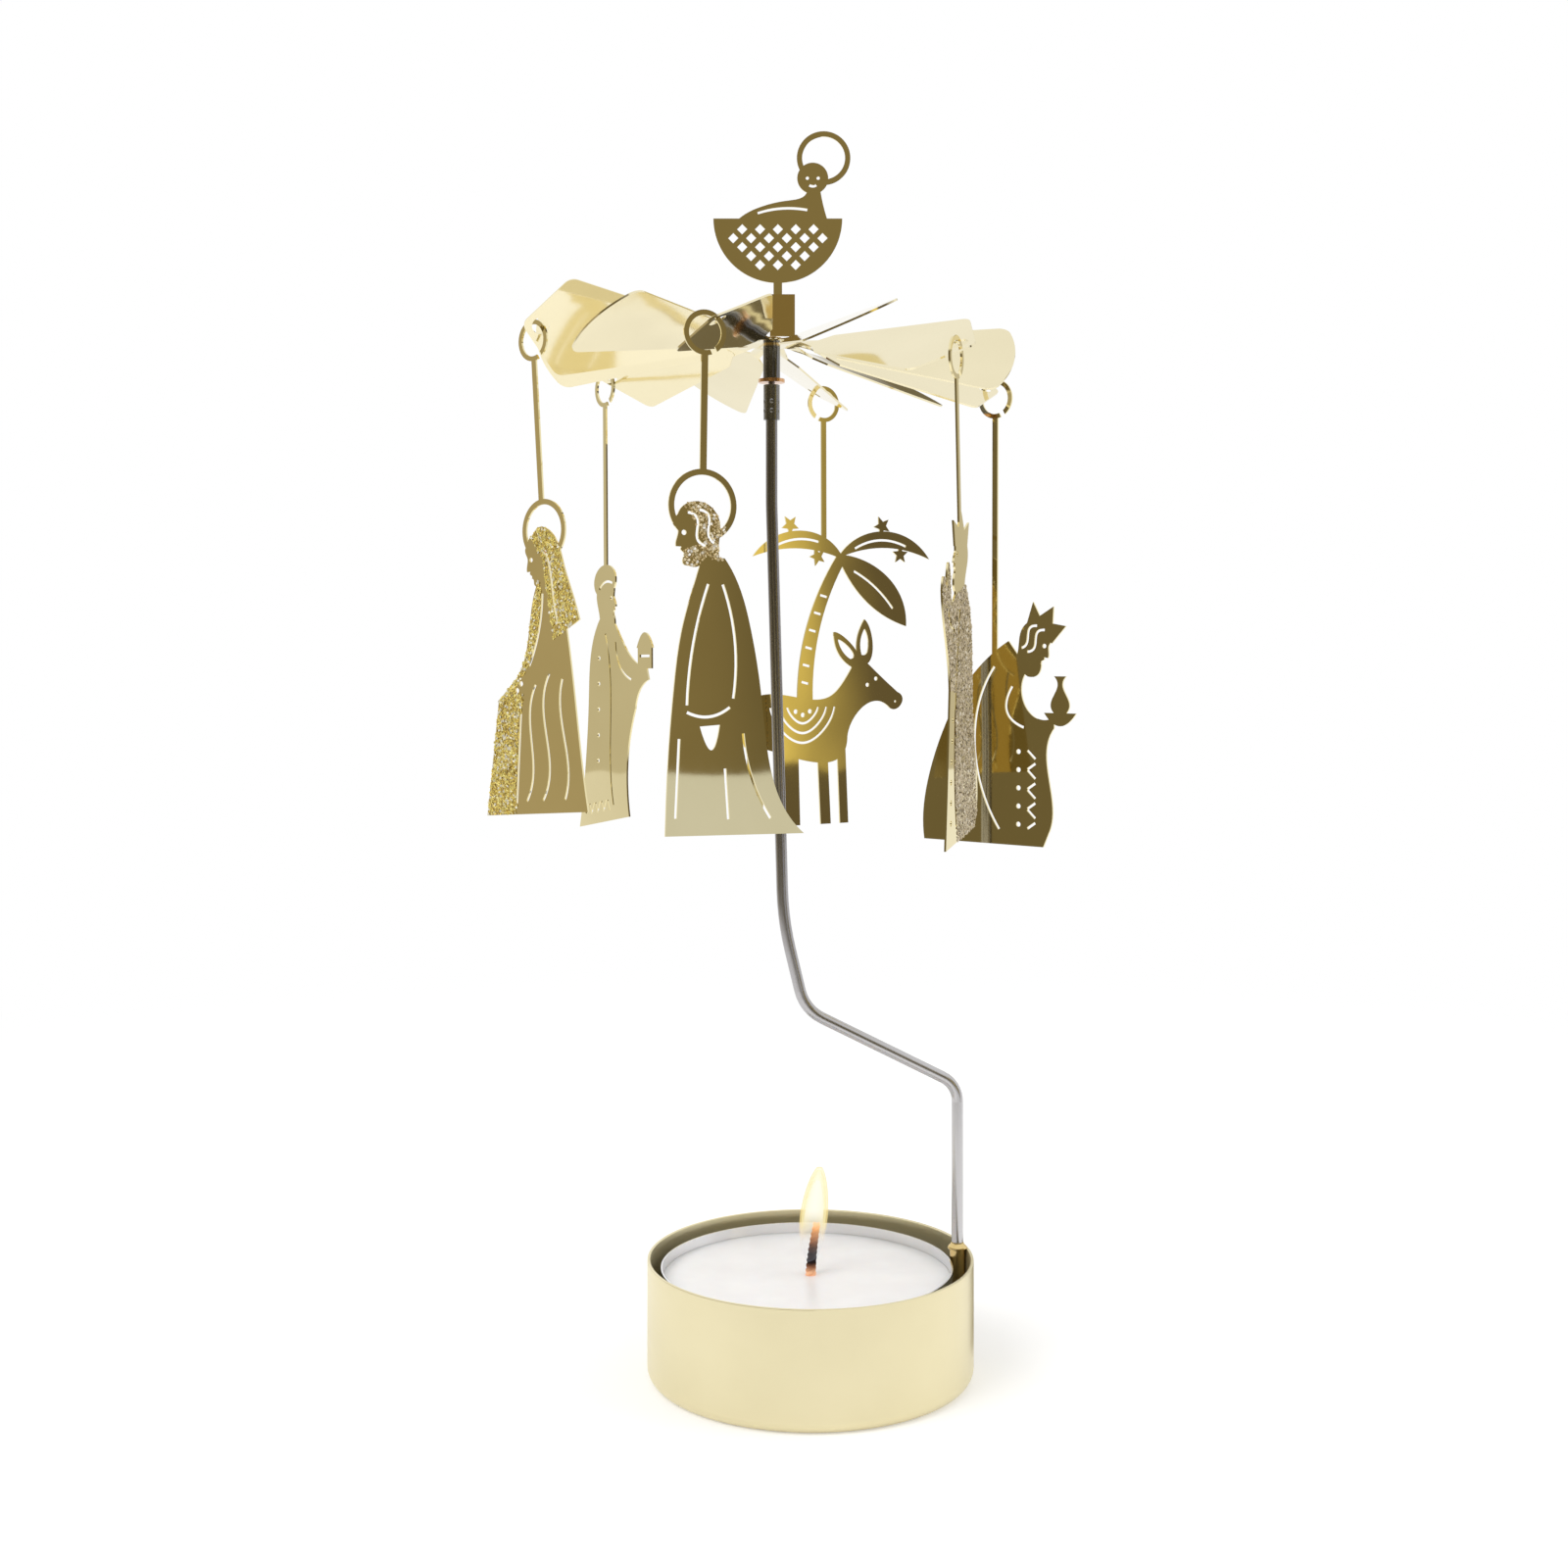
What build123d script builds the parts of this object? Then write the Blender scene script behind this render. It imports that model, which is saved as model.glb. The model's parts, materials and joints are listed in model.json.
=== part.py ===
from build123d import *
import os
from math import atan2, cos, degrees, hypot, radians, sin

os.makedirs("parts", exist_ok=True)

# Rotary tealight carousel with flat hanging figures, in millimetres.
# +Z is up, +X is to the viewer's right and +Y is away from the viewer.
# The origin is the centre of the base cup's underside.

# Base cup and the socket inside its wall
cup_height = 15.0
cup_wall = 0.4
cup_bottom_radius = 1.4
cup_rim_radius = 0.12
socket_diameter = 2.0
socket_angle = 10.0
socket_below_rim = 0.15
socket_floor = 0.4
socket_wall_gap = 0.03

# Tealight
tealight_diameter = 37.6
tealight_height = 13.4
tealight_wall = 0.2
tealight_bottom_radius = 0.8
tealight_floor_gap = 0.02
tealight_clearance = 0.785
tealight_socket_gap = 0.235
wax_depth = 12.0
wax_dish = 0.35
wax_side_gap = 0.02
wick_diameter = 1.2
wick_above_wax = 5.2
wick_lean = 9.0
wick_offset_x = 0.5
wick_offset_y = 1.38
sustainer_diameter = 12.0
sustainer_thickness = 0.3
collar_diameter = 2.6
collar_height = 3.0
wick_gap = 0.02

# Bent wire stem: corner heights and distances from the turning axis
rod_diameter = 1.5
rod_fit = 0.03
axis_x = -5.0
lower_bend_height = 36.3
upper_bend_height = 46.6
upper_bend_out = 4.3
lean_start_rise = 11.6
lean_start_out = 1.5
lean_end_height = 112.0
stem_top = 125.9
lower_bend_radius = 3.6
upper_bend_radius = 5.5
lean_start_radius = 38.0
lean_end_radius = 60.0

# Ferrule and needle on the top of the stem
ferrule_diameter = 2.1
ferrule_length = 4.5
ferrule_grip = 3.1
crimp_radius = 0.45
crimp_depth = 0.12
crimp_heights = (1.15, 2.35)
crimps_around = 6
needle_diameter = 0.8
needle_fit = 0.02
needle_cone = 1.1
needle_tip_diameter = 0.12

# Bearing of the rotor
rotor_gap = 0.3
bearing_running_gap = 0.08
bearing_tube_diameter = 2.2
bearing_tube_length = 4.9
flange_diameter = 3.4
flange_thickness = 0.45
rivet_neck_diameter = 1.9
rivet_head_diameter = 2.7
rivet_head_height = 0.35
bearing_cup_diameter = 1.3
bearing_cup_length = 1.9
dimple_depth = 0.6
dimple_diameter = 0.9
pivot_gap = 0.05
rivet_fit = 0.03

# Propeller, cut from one sheet
sheet = 0.25
hub_radius = 3.5
wing_count = 12
wing_start = 18.5
wing_pitch = 35.0
wing_droop = 4.0
# Extra twist and droop of each wing in turn: the soft sheet is bent by hand
wing_bends = (
    (1.0, 4.5),
    (-9.0, 2.0),
    (-3.0, 0.5),
    (-4.0, 0.0),
    (6.0, -1.5),
    (5.0, -4.0),
    (23.0, -5.5),
    (-8.0, -2.5),
    (-7.0, -0.5),
    (-10.0, -1.0),
    (-1.0, 2.0),
    (9.0, 1.5),
)
neck_width = 1.5
neck_start = 4.1
neck_end = 7.4
shoulder_reach = 9.0
shoulder_width = 4.4
wing_width = 13.2
hook_wing_corner = 27.3
hook_wing_reach = 32.6
plain_wing_corner = 29.6
plain_wing_reach = 31.4
wing_corner_round = 1.6
wing_tip_round = 1.2
hook_hole_diameter = 2.2
hook_hole_reach = 30.2

# Clip on the hub and the stem of the top figure
clip_offset = 1.4
clip_width = 3.2
clip_depth = 1.5
clip_lip = 0.75
clip_height = 5.4
clip_foot_radius = 1.9
clip_above_rivet = 0.15
top_stem_width = 1.1
top_stem_grip = 4.6
top_stem_shown = 1.5
top_stem_offset = -0.6

# Open hook rings and strips of the hanging figures
ring_diameter = 5.2
ring_width = 0.6
ring_gap = 0.7
ring_reach = 1.5
long_reach = 1.9
ring_rise = 0.4
strip_width = 0.8
strip_lap = 0.35

# Line work cut through the figures
cut_width = 0.34
eye_radius = 0.3
man_halo_diameter = 8.35
woman_halo_diameter = 7.8
child_halo_diameter = 6.9
halo_width = 0.68

# Derived sizes and places: the cup takes the tealight and the socket side by side
tealight_room = tealight_diameter + 2 * tealight_clearance
cup_inner_radius = (tealight_room + socket_diameter + socket_wall_gap) / 2
cup_diameter = 2 * (cup_inner_radius + cup_wall)
socket_reach = cup_inner_radius - socket_wall_gap - socket_diameter / 2
foot_x = socket_reach * cos(radians(socket_angle))
foot_y = socket_reach * sin(radians(socket_angle))
socket_bottom = cup_bottom_radius
foot_bottom = socket_bottom + socket_floor
lean_start_height = upper_bend_height + lean_start_rise
tealight_radius = tealight_diameter / 2
tealight_shift = tealight_radius + tealight_socket_gap + socket_diameter / 2 - socket_reach
tealight_x = -tealight_shift * cos(radians(socket_angle))
tealight_y = -tealight_shift * sin(radians(socket_angle))
wick_x = tealight_x + wick_offset_x
wick_y = tealight_y + wick_offset_y
tealight_bottom = cup_wall + tealight_floor_gap
wax_bottom = tealight_bottom + tealight_wall
wax_top = tealight_bottom + wax_depth
ferrule_bottom = stem_top - ferrule_grip
ferrule_top = ferrule_bottom + ferrule_length
flange_bottom = ferrule_top + rotor_gap
hub_bottom = flange_bottom + bearing_tube_length
hub_top = hub_bottom + sheet
clip_foot_top = hub_top + sheet
rivet_top = clip_foot_top + rivet_head_height
bearing_cup_bottom = rivet_top - bearing_cup_length
needle_top = bearing_cup_bottom + dimple_depth - pivot_gap
clip_post_bottom = rivet_top + clip_above_rivet
clip_top = clip_post_bottom + clip_height
axis_base = (axis_x, 0, 0)
wing_spacing = 360 / wing_count
ring_outer_radius = ring_diameter / 2
ring_inner_radius = ring_outer_radius - ring_width


def upright_plane(origin, yaw):
    """A standing plane: its X runs along the yaw angle and its Y runs up."""
    along = (cos(radians(yaw)), sin(radians(yaw)), 0)
    facing = (sin(radians(yaw)), -cos(radians(yaw)), 0)
    return Plane(origin=origin, x_dir=along, z_dir=facing)


def arm_plane(wing):
    """The level plane of one arm of the hub: X runs out along the arm, from the turning axis."""
    turn = Rotation(0, 0, wing_start + wing * wing_spacing)
    return Plane(Location((axis_x, 0, hub_bottom + sheet / 2)) * turn)


def wing_plane(wing):
    """The plane of one wing, bent down and twisted from the plane of its arm."""
    twist, drop = wing_bends[wing % len(wing_bends)]
    bend = Rotation(0, wing_droop + drop, 0) * Rotation(wing_pitch + twist, 0, 0)
    return Plane(arm_plane(wing).location * bend)


def cross_plane(plane, reach):
    """The plane square to a wing at a distance along it."""
    return Plane(origin=plane.from_local_coords((reach, 0, 0)), x_dir=plane.y_dir, z_dir=plane.x_dir)


def curve(points):
    """A straight line through two points, or a smooth curve through more."""
    if len(points) == 2:
        return Line(*points)
    return Spline(*points)


def shape(*runs, mode=Mode.ADD):
    """A face closed from runs of points, each run starting where the last one ended."""
    with BuildLine() as border:
        for run in runs:
            curve(run)
    make_face(border.edges(), mode=mode)


def cut_line(*points):
    """A narrow slot along a line or a smooth curve."""
    with BuildLine() as path:
        curve(points)
    trace(path.edges(), cut_width, mode=Mode.SUBTRACT)


def dots(radius, *centres):
    """Small round holes."""
    with Locations(*centres):
        Circle(radius, mode=Mode.SUBTRACT)


def placed(points, at, turn=0.0, side=1, size=1.0):
    """Points scaled and turned about their origin, mirrored for side -1 and moved to a place."""
    c = size * cos(radians(turn))
    s = size * sin(radians(turn))
    return [(at[0] + side * (x * c - y * s), at[1] + x * s + y * c) for x, y in points]


def halo(centre, diameter):
    """A thin ring."""
    with Locations(centre):
        Circle(diameter / 2)
        Circle(diameter / 2 - halo_width, mode=Mode.SUBTRACT)


def head(at, bow, side, size=1.0):
    """A plain head in profile with its neck, looking along +X for side 1."""
    skull = [(1.6, 2.4), (0.2, 3.2), (-1.8, 2.5), (-2.6, 0.5), (-1.8, -1.8), (-1.7, -4.2)]
    neck = [(-1.7, -4.2), (0.9, -4.2)]
    throat = [(0.9, -4.2), (0.9, -3.2)]
    jaw = [(0.9, -3.2), (1.7, -3.1), (2.1, -2.6), (2.0, -2.1), (2.25, -1.75)]
    lips = [(2.25, -1.75), (2.1, -1.5), (2.3, -1.2), (2.15, -0.85)]
    nose = [(2.15, -0.85), (2.75, -0.65)]
    brow = [(2.75, -0.65), (2.25, 0.35), (2.05, 0.75), (2.1, 1.4), (1.6, 2.4)]
    runs = (skull, neck, throat, jaw, lips, nose, brow)
    shape(*[placed(run, at, -bow, side, size) for run in runs])


def eye(at, bow, side, size=1.0):
    """A small round eye at half the height of the head."""
    dots(eye_radius, *placed([(1.5, 0.45)], at, -bow, side, size))


def hair(at, bow, side, size=1.0):
    """Two wavy locks cut through the back of a head."""
    for lock in (
        [(0.5, 2.3), (-0.3, 1.1), (0.2, -0.1), (-0.4, -1.5)],
        [(-0.8, 2.2), (-1.6, 1.0), (-1.1, -0.2), (-1.4, -1.5)],
    ):
        cut_line(*placed(lock, at, -bow, side, size))


def beard(at, bow, side, length, size=1.0):
    """A pointed beard under the chin."""
    front = [(2.3, -1.9), (2.5, -1.9 - length * 0.6), (1.3, -1.9 - length)]
    back = [(1.3, -1.9 - length), (-0.6, -3.6), (-1.2, -1.2)]
    shape(
        placed(front, at, -bow, side, size),
        placed(back, at, -bow, side, size),
        placed([(-1.2, -1.2), (2.3, -1.9)], at, -bow, side, size),
    )


def crown(at, bow, side):
    """A band with three points on top of a head."""
    points = [(-2.3, 1.6), (-2.9, 4.6), (-1.1, 3.5), (0.1, 5.6), (1.1, 3.6), (3.0, 4.3), (2.3, 1.3)]
    corners = placed(points, at, -bow, side)
    shape(*[list(pair) for pair in zip(corners, corners[1:] + corners[:1])])


def star(at, radius, turn):
    """A five-pointed star."""
    tips = []
    for step in range(10):
        reach = radius if step % 2 == 0 else radius * 0.45
        angle = radians(turn + 90 + 36 * step)
        tips.append((at[0] + reach * cos(angle), at[1] + reach * sin(angle)))
    shape(*[list(pair) for pair in zip(tips, tips[1:] + tips[:1])])


# Base cup: drawn from sheet, with a rounded bottom edge
with BuildPart() as base_cup:
    Cylinder(cup_diameter / 2, cup_height, align=(Align.CENTER, Align.CENTER, Align.MIN))
    fillet(base_cup.edges().filter_by(GeomType.CIRCLE).sort_by(Axis.Z)[0], cup_bottom_radius)
    offset(amount=-cup_wall, openings=base_cup.faces().sort_by(Axis.Z)[-1])
    fillet(base_cup.faces().sort_by(Axis.Z)[-1].edges(), cup_rim_radius)
base_cup.part.label = "base_cup"
export_step(base_cup.part, "parts/base_cup.step")

# Socket: a closed-end tube soldered to the cup's wall above the rounded corner
with BuildPart() as rod_socket:
    with BuildSketch(Plane((foot_x, foot_y, socket_bottom))):
        Circle(socket_diameter / 2)
    extrude(amount=cup_height - socket_below_rim - socket_bottom)
    with BuildSketch(Plane((foot_x, foot_y, foot_bottom))):
        Circle(rod_diameter / 2 + rod_fit)
    extrude(amount=cup_height - socket_below_rim - foot_bottom, mode=Mode.SUBTRACT)
rod_socket.part.label = "rod_socket"
export_step(rod_socket.part, "parts/rod_socket.step")

# Tealight: cup, wax with a dished top, sustainer and wick
with BuildPart() as tealight_cup:
    with Locations((tealight_x, tealight_y, tealight_bottom)):
        Cylinder(tealight_radius, tealight_height, align=(Align.CENTER, Align.CENTER, Align.MIN))
    fillet(tealight_cup.edges().filter_by(GeomType.CIRCLE).sort_by(Axis.Z)[0], tealight_bottom_radius)
    offset(amount=-tealight_wall, openings=tealight_cup.faces().sort_by(Axis.Z)[-1])
tealight_cup.part.label = "tealight_cup"
export_step(tealight_cup.part, "parts/tealight_cup.step")

collar_top = wax_bottom + sustainer_thickness + collar_height
with BuildPart() as wick_sustainer:
    with BuildSketch(Plane((wick_x, wick_y, wax_bottom))):
        Circle(sustainer_diameter / 2)
    extrude(amount=sustainer_thickness)
    with BuildSketch(Plane((wick_x, wick_y, wax_bottom + sustainer_thickness))):
        Circle(collar_diameter / 2)
        Circle(wick_diameter / 2 + wick_gap, mode=Mode.SUBTRACT)
    extrude(amount=collar_height)
wick_sustainer.part.label = "wick_sustainer"
export_step(wick_sustainer.part, "parts/wick_sustainer.step")

wick_foot = wax_bottom + sustainer_thickness
wick_lean_reach = wick_above_wax * sin(radians(wick_lean))
with BuildPart() as tealight_wick:
    with BuildSketch(Plane((wick_x, wick_y, wick_foot))):
        Circle(wick_diameter / 2)
    extrude(amount=wax_top - wick_foot)
    with BuildSketch(Plane((wick_x, wick_y, wax_top))):
        Circle(wick_diameter / 2)
    with BuildSketch(Plane((wick_x + wick_lean_reach, wick_y, wax_top + wick_above_wax))):
        Circle(wick_diameter / 3)
    loft()
tealight_wick.part.label = "tealight_wick"
export_step(tealight_wick.part, "parts/tealight_wick.step")

wax_radius = tealight_radius - tealight_wall - wax_side_gap
wax_lower_radius = tealight_bottom_radius - tealight_wall
with BuildPart() as tealight_wax:
    with BuildSketch(Plane((tealight_x, tealight_y, 0), x_dir=(1, 0, 0), z_dir=(0, -1, 0))):
        with BuildLine():
            wax_side = Polyline(
                (0, wax_top - wax_dish),
                (0, wax_bottom),
                (wax_radius - wax_lower_radius, wax_bottom),
                (wax_radius, wax_bottom + wax_lower_radius),
                (wax_radius, wax_top),
            )
            TangentArc(wax_side @ 0, wax_side @ 1, tangent=(1, 0))
        make_face()
    revolve(axis=Axis((tealight_x, tealight_y, 0), (0, 0, 1)))
    with BuildSketch(Plane((wick_x, wick_y, wax_bottom))):
        Circle(sustainer_diameter / 2 + wick_gap)
    extrude(amount=sustainer_thickness + wick_gap, mode=Mode.SUBTRACT)
    with BuildSketch(Plane((wick_x, wick_y, wax_bottom))):
        Circle(collar_diameter / 2 + wick_gap)
    extrude(amount=collar_top + wick_gap - wax_bottom, mode=Mode.SUBTRACT)
    with BuildSketch(Plane((wick_x, wick_y, wax_bottom))):
        Circle(wick_diameter / 2 + wick_gap)
    extrude(amount=wax_depth, mode=Mode.SUBTRACT)
tealight_wax.part.label = "tealight_wax"
export_step(tealight_wax.part, "parts/tealight_wax.step")

# Stem: one bent wire in the upright plane through the socket and the turning axis
foot_out = hypot(foot_x - axis_x, foot_y)
stem_plane = Plane(
    origin=axis_base,
    x_dir=(foot_x - axis_x, foot_y, 0),
    z_dir=(foot_y, axis_x - foot_x, 0),
)
stem_corners = [
    (foot_out, foot_bottom),
    (foot_out, lower_bend_height),
    (upper_bend_out, upper_bend_height),
    (lean_start_out, lean_start_height),
    (0, lean_end_height),
    (0, stem_top),
]
stem_radii = [lower_bend_radius, upper_bend_radius, lean_start_radius, lean_end_radius]
with BuildPart() as stem_rod:
    with BuildLine(stem_plane):
        FilletPolyline(*stem_corners, radius=stem_radii)
    with BuildSketch(Plane((foot_x, foot_y, foot_bottom))):
        Circle(rod_diameter / 2)
    sweep()
stem_rod.part.label = "stem_rod"
export_step(stem_rod.part, "parts/stem_rod.step")

# Ferrule crimped on the top of the wire, with the needle in its narrow upper bore
with BuildPart() as stem_ferrule:
    with BuildSketch(Plane((axis_x, 0, ferrule_bottom))):
        Circle(ferrule_diameter / 2)
    extrude(amount=ferrule_length)
    with BuildSketch(Plane((axis_x, 0, ferrule_bottom))):
        Circle(rod_diameter / 2 + rod_fit)
    extrude(amount=ferrule_grip, mode=Mode.SUBTRACT)
    with BuildSketch(Plane((axis_x, 0, ferrule_bottom))):
        Circle(needle_diameter / 2 + needle_fit)
    extrude(amount=ferrule_length, mode=Mode.SUBTRACT)
    crimp_reach = ferrule_diameter / 2 - crimp_depth + crimp_radius
    for crimp_height in crimp_heights:
        with Locations((axis_x, 0, ferrule_bottom + crimp_height)):
            with PolarLocations(crimp_reach, crimps_around, start_angle=-90):
                Sphere(crimp_radius, mode=Mode.SUBTRACT)
stem_ferrule.part.label = "stem_ferrule"
export_step(stem_ferrule.part, "parts/stem_ferrule.step")

with BuildPart() as pivot_needle:
    with BuildSketch(Plane((axis_x, 0, stem_top))):
        Circle(needle_diameter / 2)
    extrude(amount=needle_top - needle_cone - stem_top)
    with BuildSketch(Plane((axis_x, 0, needle_top - needle_cone))):
        Circle(needle_diameter / 2)
    with BuildSketch(Plane((axis_x, 0, needle_top))):
        Circle(needle_tip_diameter / 2)
    loft()
pivot_needle.part.label = "pivot_needle"
export_step(pivot_needle.part, "parts/pivot_needle.step")

# Rotor bearing: flanged tube riveted through the hub, with the dimpled cup pressed in from above
bearing_bore = needle_diameter + 2 * bearing_running_gap
with BuildPart() as bearing_tube:
    with BuildSketch(Plane((axis_x, 0, flange_bottom))):
        Circle(flange_diameter / 2)
    extrude(amount=flange_thickness)
    with BuildSketch(Plane((axis_x, 0, flange_bottom))):
        Circle(bearing_tube_diameter / 2)
    extrude(amount=bearing_tube_length)
    with BuildSketch(Plane((axis_x, 0, hub_bottom))):
        Circle(rivet_neck_diameter / 2)
    extrude(amount=rivet_top - hub_bottom)
    with BuildSketch(Plane((axis_x, 0, clip_foot_top))):
        Circle(rivet_head_diameter / 2)
    extrude(amount=rivet_head_height)
    with BuildSketch(Plane((axis_x, 0, flange_bottom))):
        Circle(bearing_bore / 2)
    extrude(amount=rivet_top - flange_bottom, mode=Mode.SUBTRACT)
    with BuildSketch(Plane((axis_x, 0, bearing_cup_bottom))):
        Circle(bearing_cup_diameter / 2 + rivet_fit)
    extrude(amount=bearing_cup_length, mode=Mode.SUBTRACT)
bearing_tube.part.label = "bearing_tube"
export_step(bearing_tube.part, "parts/bearing_tube.step")

with BuildPart() as bearing_cup:
    with BuildSketch(Plane((axis_x, 0, bearing_cup_bottom))):
        Circle(bearing_cup_diameter / 2)
    extrude(amount=bearing_cup_length)
    with Locations((axis_x, 0, bearing_cup_bottom)):
        Cone(
            dimple_diameter / 2,
            0,
            dimple_depth,
            align=(Align.CENTER, Align.CENTER, Align.MIN),
            mode=Mode.SUBTRACT,
        )
bearing_cup.part.label = "bearing_cup"
export_step(bearing_cup.part, "parts/bearing_cup.step")

# Propeller: flat hub with short arms, twisted necks and pitched wings of two kinds in turn
def neck(wing):
    """The twisted strip between a flat arm of the hub and its wing."""
    flat_end = BuildSketch(cross_plane(arm_plane(wing), neck_start))
    with flat_end:
        Rectangle(neck_width, sheet)
    pitched_end = BuildSketch(cross_plane(wing_plane(wing), neck_end))
    with pitched_end:
        Rectangle(neck_width, sheet)
    loft([flat_end.sketch, pitched_end.sketch], ruled=True)


def wing_sides(corner):
    """The straight sides of a wing from its outer corners in to its neck."""
    return Polyline(
        (corner, -wing_width / 2),
        (shoulder_reach, -shoulder_width / 2),
        (neck_end, -neck_width / 2),
        (neck_end, neck_width / 2),
        (shoulder_reach, shoulder_width / 2),
        (corner, wing_width / 2),
    )


with BuildPart() as hook_wing:
    with BuildSketch() as hook_wing_face:
        with BuildLine():
            sides = wing_sides(hook_wing_corner)
            Polyline(sides @ 1, (hook_wing_reach, 0), sides @ 0)
        make_face()
        fillet(hook_wing_face.vertices().sort_by(Axis.X)[-1], wing_tip_round)
        fillet(hook_wing_face.vertices().group_by(Axis.Y)[0], wing_corner_round)
        fillet(hook_wing_face.vertices().group_by(Axis.Y)[-1], wing_corner_round)
        with Locations((hook_hole_reach, 0)):
            Circle(hook_hole_diameter / 2, mode=Mode.SUBTRACT)
    extrude(amount=sheet / 2, both=True)

with BuildPart() as plain_wing:
    with BuildSketch() as plain_wing_face:
        with BuildLine():
            sides = wing_sides(plain_wing_corner)
            ThreePointArc(sides @ 1, (plain_wing_reach, 0), sides @ 0)
        make_face()
        fillet(plain_wing_face.vertices().group_by(Axis.Y)[0], wing_corner_round)
        fillet(plain_wing_face.vertices().group_by(Axis.Y)[-1], wing_corner_round)
    extrude(amount=sheet / 2, both=True)

with BuildPart() as propeller:
    with BuildSketch(Plane((axis_x, 0, hub_bottom))):
        Circle(hub_radius)
        with PolarLocations(neck_start / 2, wing_count, start_angle=wing_start):
            Rectangle(neck_start, neck_width)
        Circle(rivet_neck_diameter / 2 + rivet_fit, mode=Mode.SUBTRACT)
    extrude(amount=sheet)
    for wing in range(wing_count):
        kind = hook_wing if wing % 2 == 0 else plain_wing
        neck(wing)
        add(kind.part.moved(wing_plane(wing).location))
propeller.part.label = "propeller"
export_step(propeller.part, "parts/propeller.step")

# Clip: foot under the rivet head, a tongue and a folded C-shaped post
clip_middle = axis_x + clip_offset
clip_right = clip_middle + clip_width / 2
with BuildPart() as figure_clip:
    with BuildSketch(Plane((axis_x, 0, hub_top))):
        Circle(clip_foot_radius)
        with Locations((0, 0)):
            Rectangle(clip_right - axis_x, clip_depth, align=(Align.MIN, Align.CENTER))
        Circle(rivet_neck_diameter / 2 + rivet_fit, mode=Mode.SUBTRACT)
    extrude(amount=sheet)
    with BuildSketch(Plane((clip_right, 0, clip_foot_top))):
        Rectangle(sheet, clip_depth, align=(Align.MAX, Align.CENTER))
    extrude(amount=clip_post_bottom - clip_foot_top)
    with BuildSketch(Plane((clip_middle, 0, clip_post_bottom))):
        Rectangle(clip_width, clip_depth)
        Rectangle(clip_width - 2 * sheet, clip_depth - 2 * sheet, mode=Mode.SUBTRACT)
        with Locations((0, clip_depth / 2)):
            Rectangle(clip_width - 2 * clip_lip, 2 * sheet, mode=Mode.SUBTRACT)
    extrude(amount=clip_height)
figure_clip.part.label = "figure_clip"
export_step(figure_clip.part, "parts/figure_clip.step")

# Top figure: a child in a latticed basket, on a flat stem held in the clip
basket_radius = 8.3
basket_rim = 0.7
lattice_window = 0.95
lattice_pitch = 2.3
child_halo_centre = (5.9, basket_radius + 7.8)
child_head_centre = (4.5, basket_radius + 5.2)
child_head_radius = 2.0
child_eye_radius = 0.22
child_eye_spread = 0.7
child_mouth_spread = 0.45
child_mouth_drop = 0.9
child_smile = 0.15
top_figure_y = sheet * 1.5 - clip_depth / 2
top_figure_x = clip_middle + top_stem_offset
top_figure_plane = upright_plane((top_figure_x, top_figure_y, clip_top + top_stem_shown), 0)
window_half = lattice_window / 2 ** 0.5
lattice_rows = int(2 * basket_radius / lattice_pitch)
windows = []
for row in range(lattice_rows):
    for column in range(-lattice_rows, lattice_rows + 1):
        window_x = lattice_pitch * (column + 0.5 * (row % 2))
        window_y = basket_radius - basket_rim - window_half - row * lattice_pitch / 2
        if hypot(window_x, basket_radius - window_y) < basket_radius - basket_rim - window_half:
            windows.append((window_x, window_y))
with BuildPart() as top_figure:
    with BuildSketch(top_figure_plane):
        with Locations((0, basket_radius)):
            Circle(basket_radius)
            Rectangle(
                2 * basket_radius,
                basket_radius,
                align=(Align.CENTER, Align.MIN),
                mode=Mode.SUBTRACT,
            )
        with Locations(*windows):
            Rectangle(lattice_window, lattice_window, rotation=45, mode=Mode.SUBTRACT)
        shape(
            [
                (-5.2, basket_radius - 0.2),
                (-2.2, basket_radius + 1.5),
                (1.2, basket_radius + 2.3),
                (3.4, basket_radius + 2.9),
                (3.9, basket_radius + 4.2),
            ],
            [(3.9, basket_radius + 4.2), (5.4, basket_radius + 4.2)],
            [(5.4, basket_radius + 4.2), (5.7, basket_radius + 2.4), (6.4, basket_radius - 0.2)],
            [(6.4, basket_radius - 0.2), (-5.2, basket_radius - 0.2)],
        )
        halo(child_halo_centre, child_halo_diameter)
        with Locations(child_head_centre):
            Circle(child_head_radius)
        face_x, face_y = child_head_centre
        mouth_y = face_y - child_mouth_drop
        dots(child_eye_radius, (face_x - child_eye_spread, face_y), (face_x + child_eye_spread, face_y))
        cut_line(
            (face_x - child_mouth_spread, mouth_y),
            (face_x, mouth_y - child_smile),
            (face_x + child_mouth_spread, mouth_y),
        )
        cut_line((-2.6, basket_radius + 0.7), (0.6, basket_radius + 1.3), (3.8, basket_radius + 1.1))
        with Locations((0, basket_rim)):
            Rectangle(
                top_stem_width,
                top_stem_shown + top_stem_grip + basket_rim,
                align=(Align.CENTER, Align.MAX),
            )
    extrude(amount=sheet / 2, both=True)
top_figure.part.label = "top_figure"
export_step(top_figure.part, "parts/top_figure.step")

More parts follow.
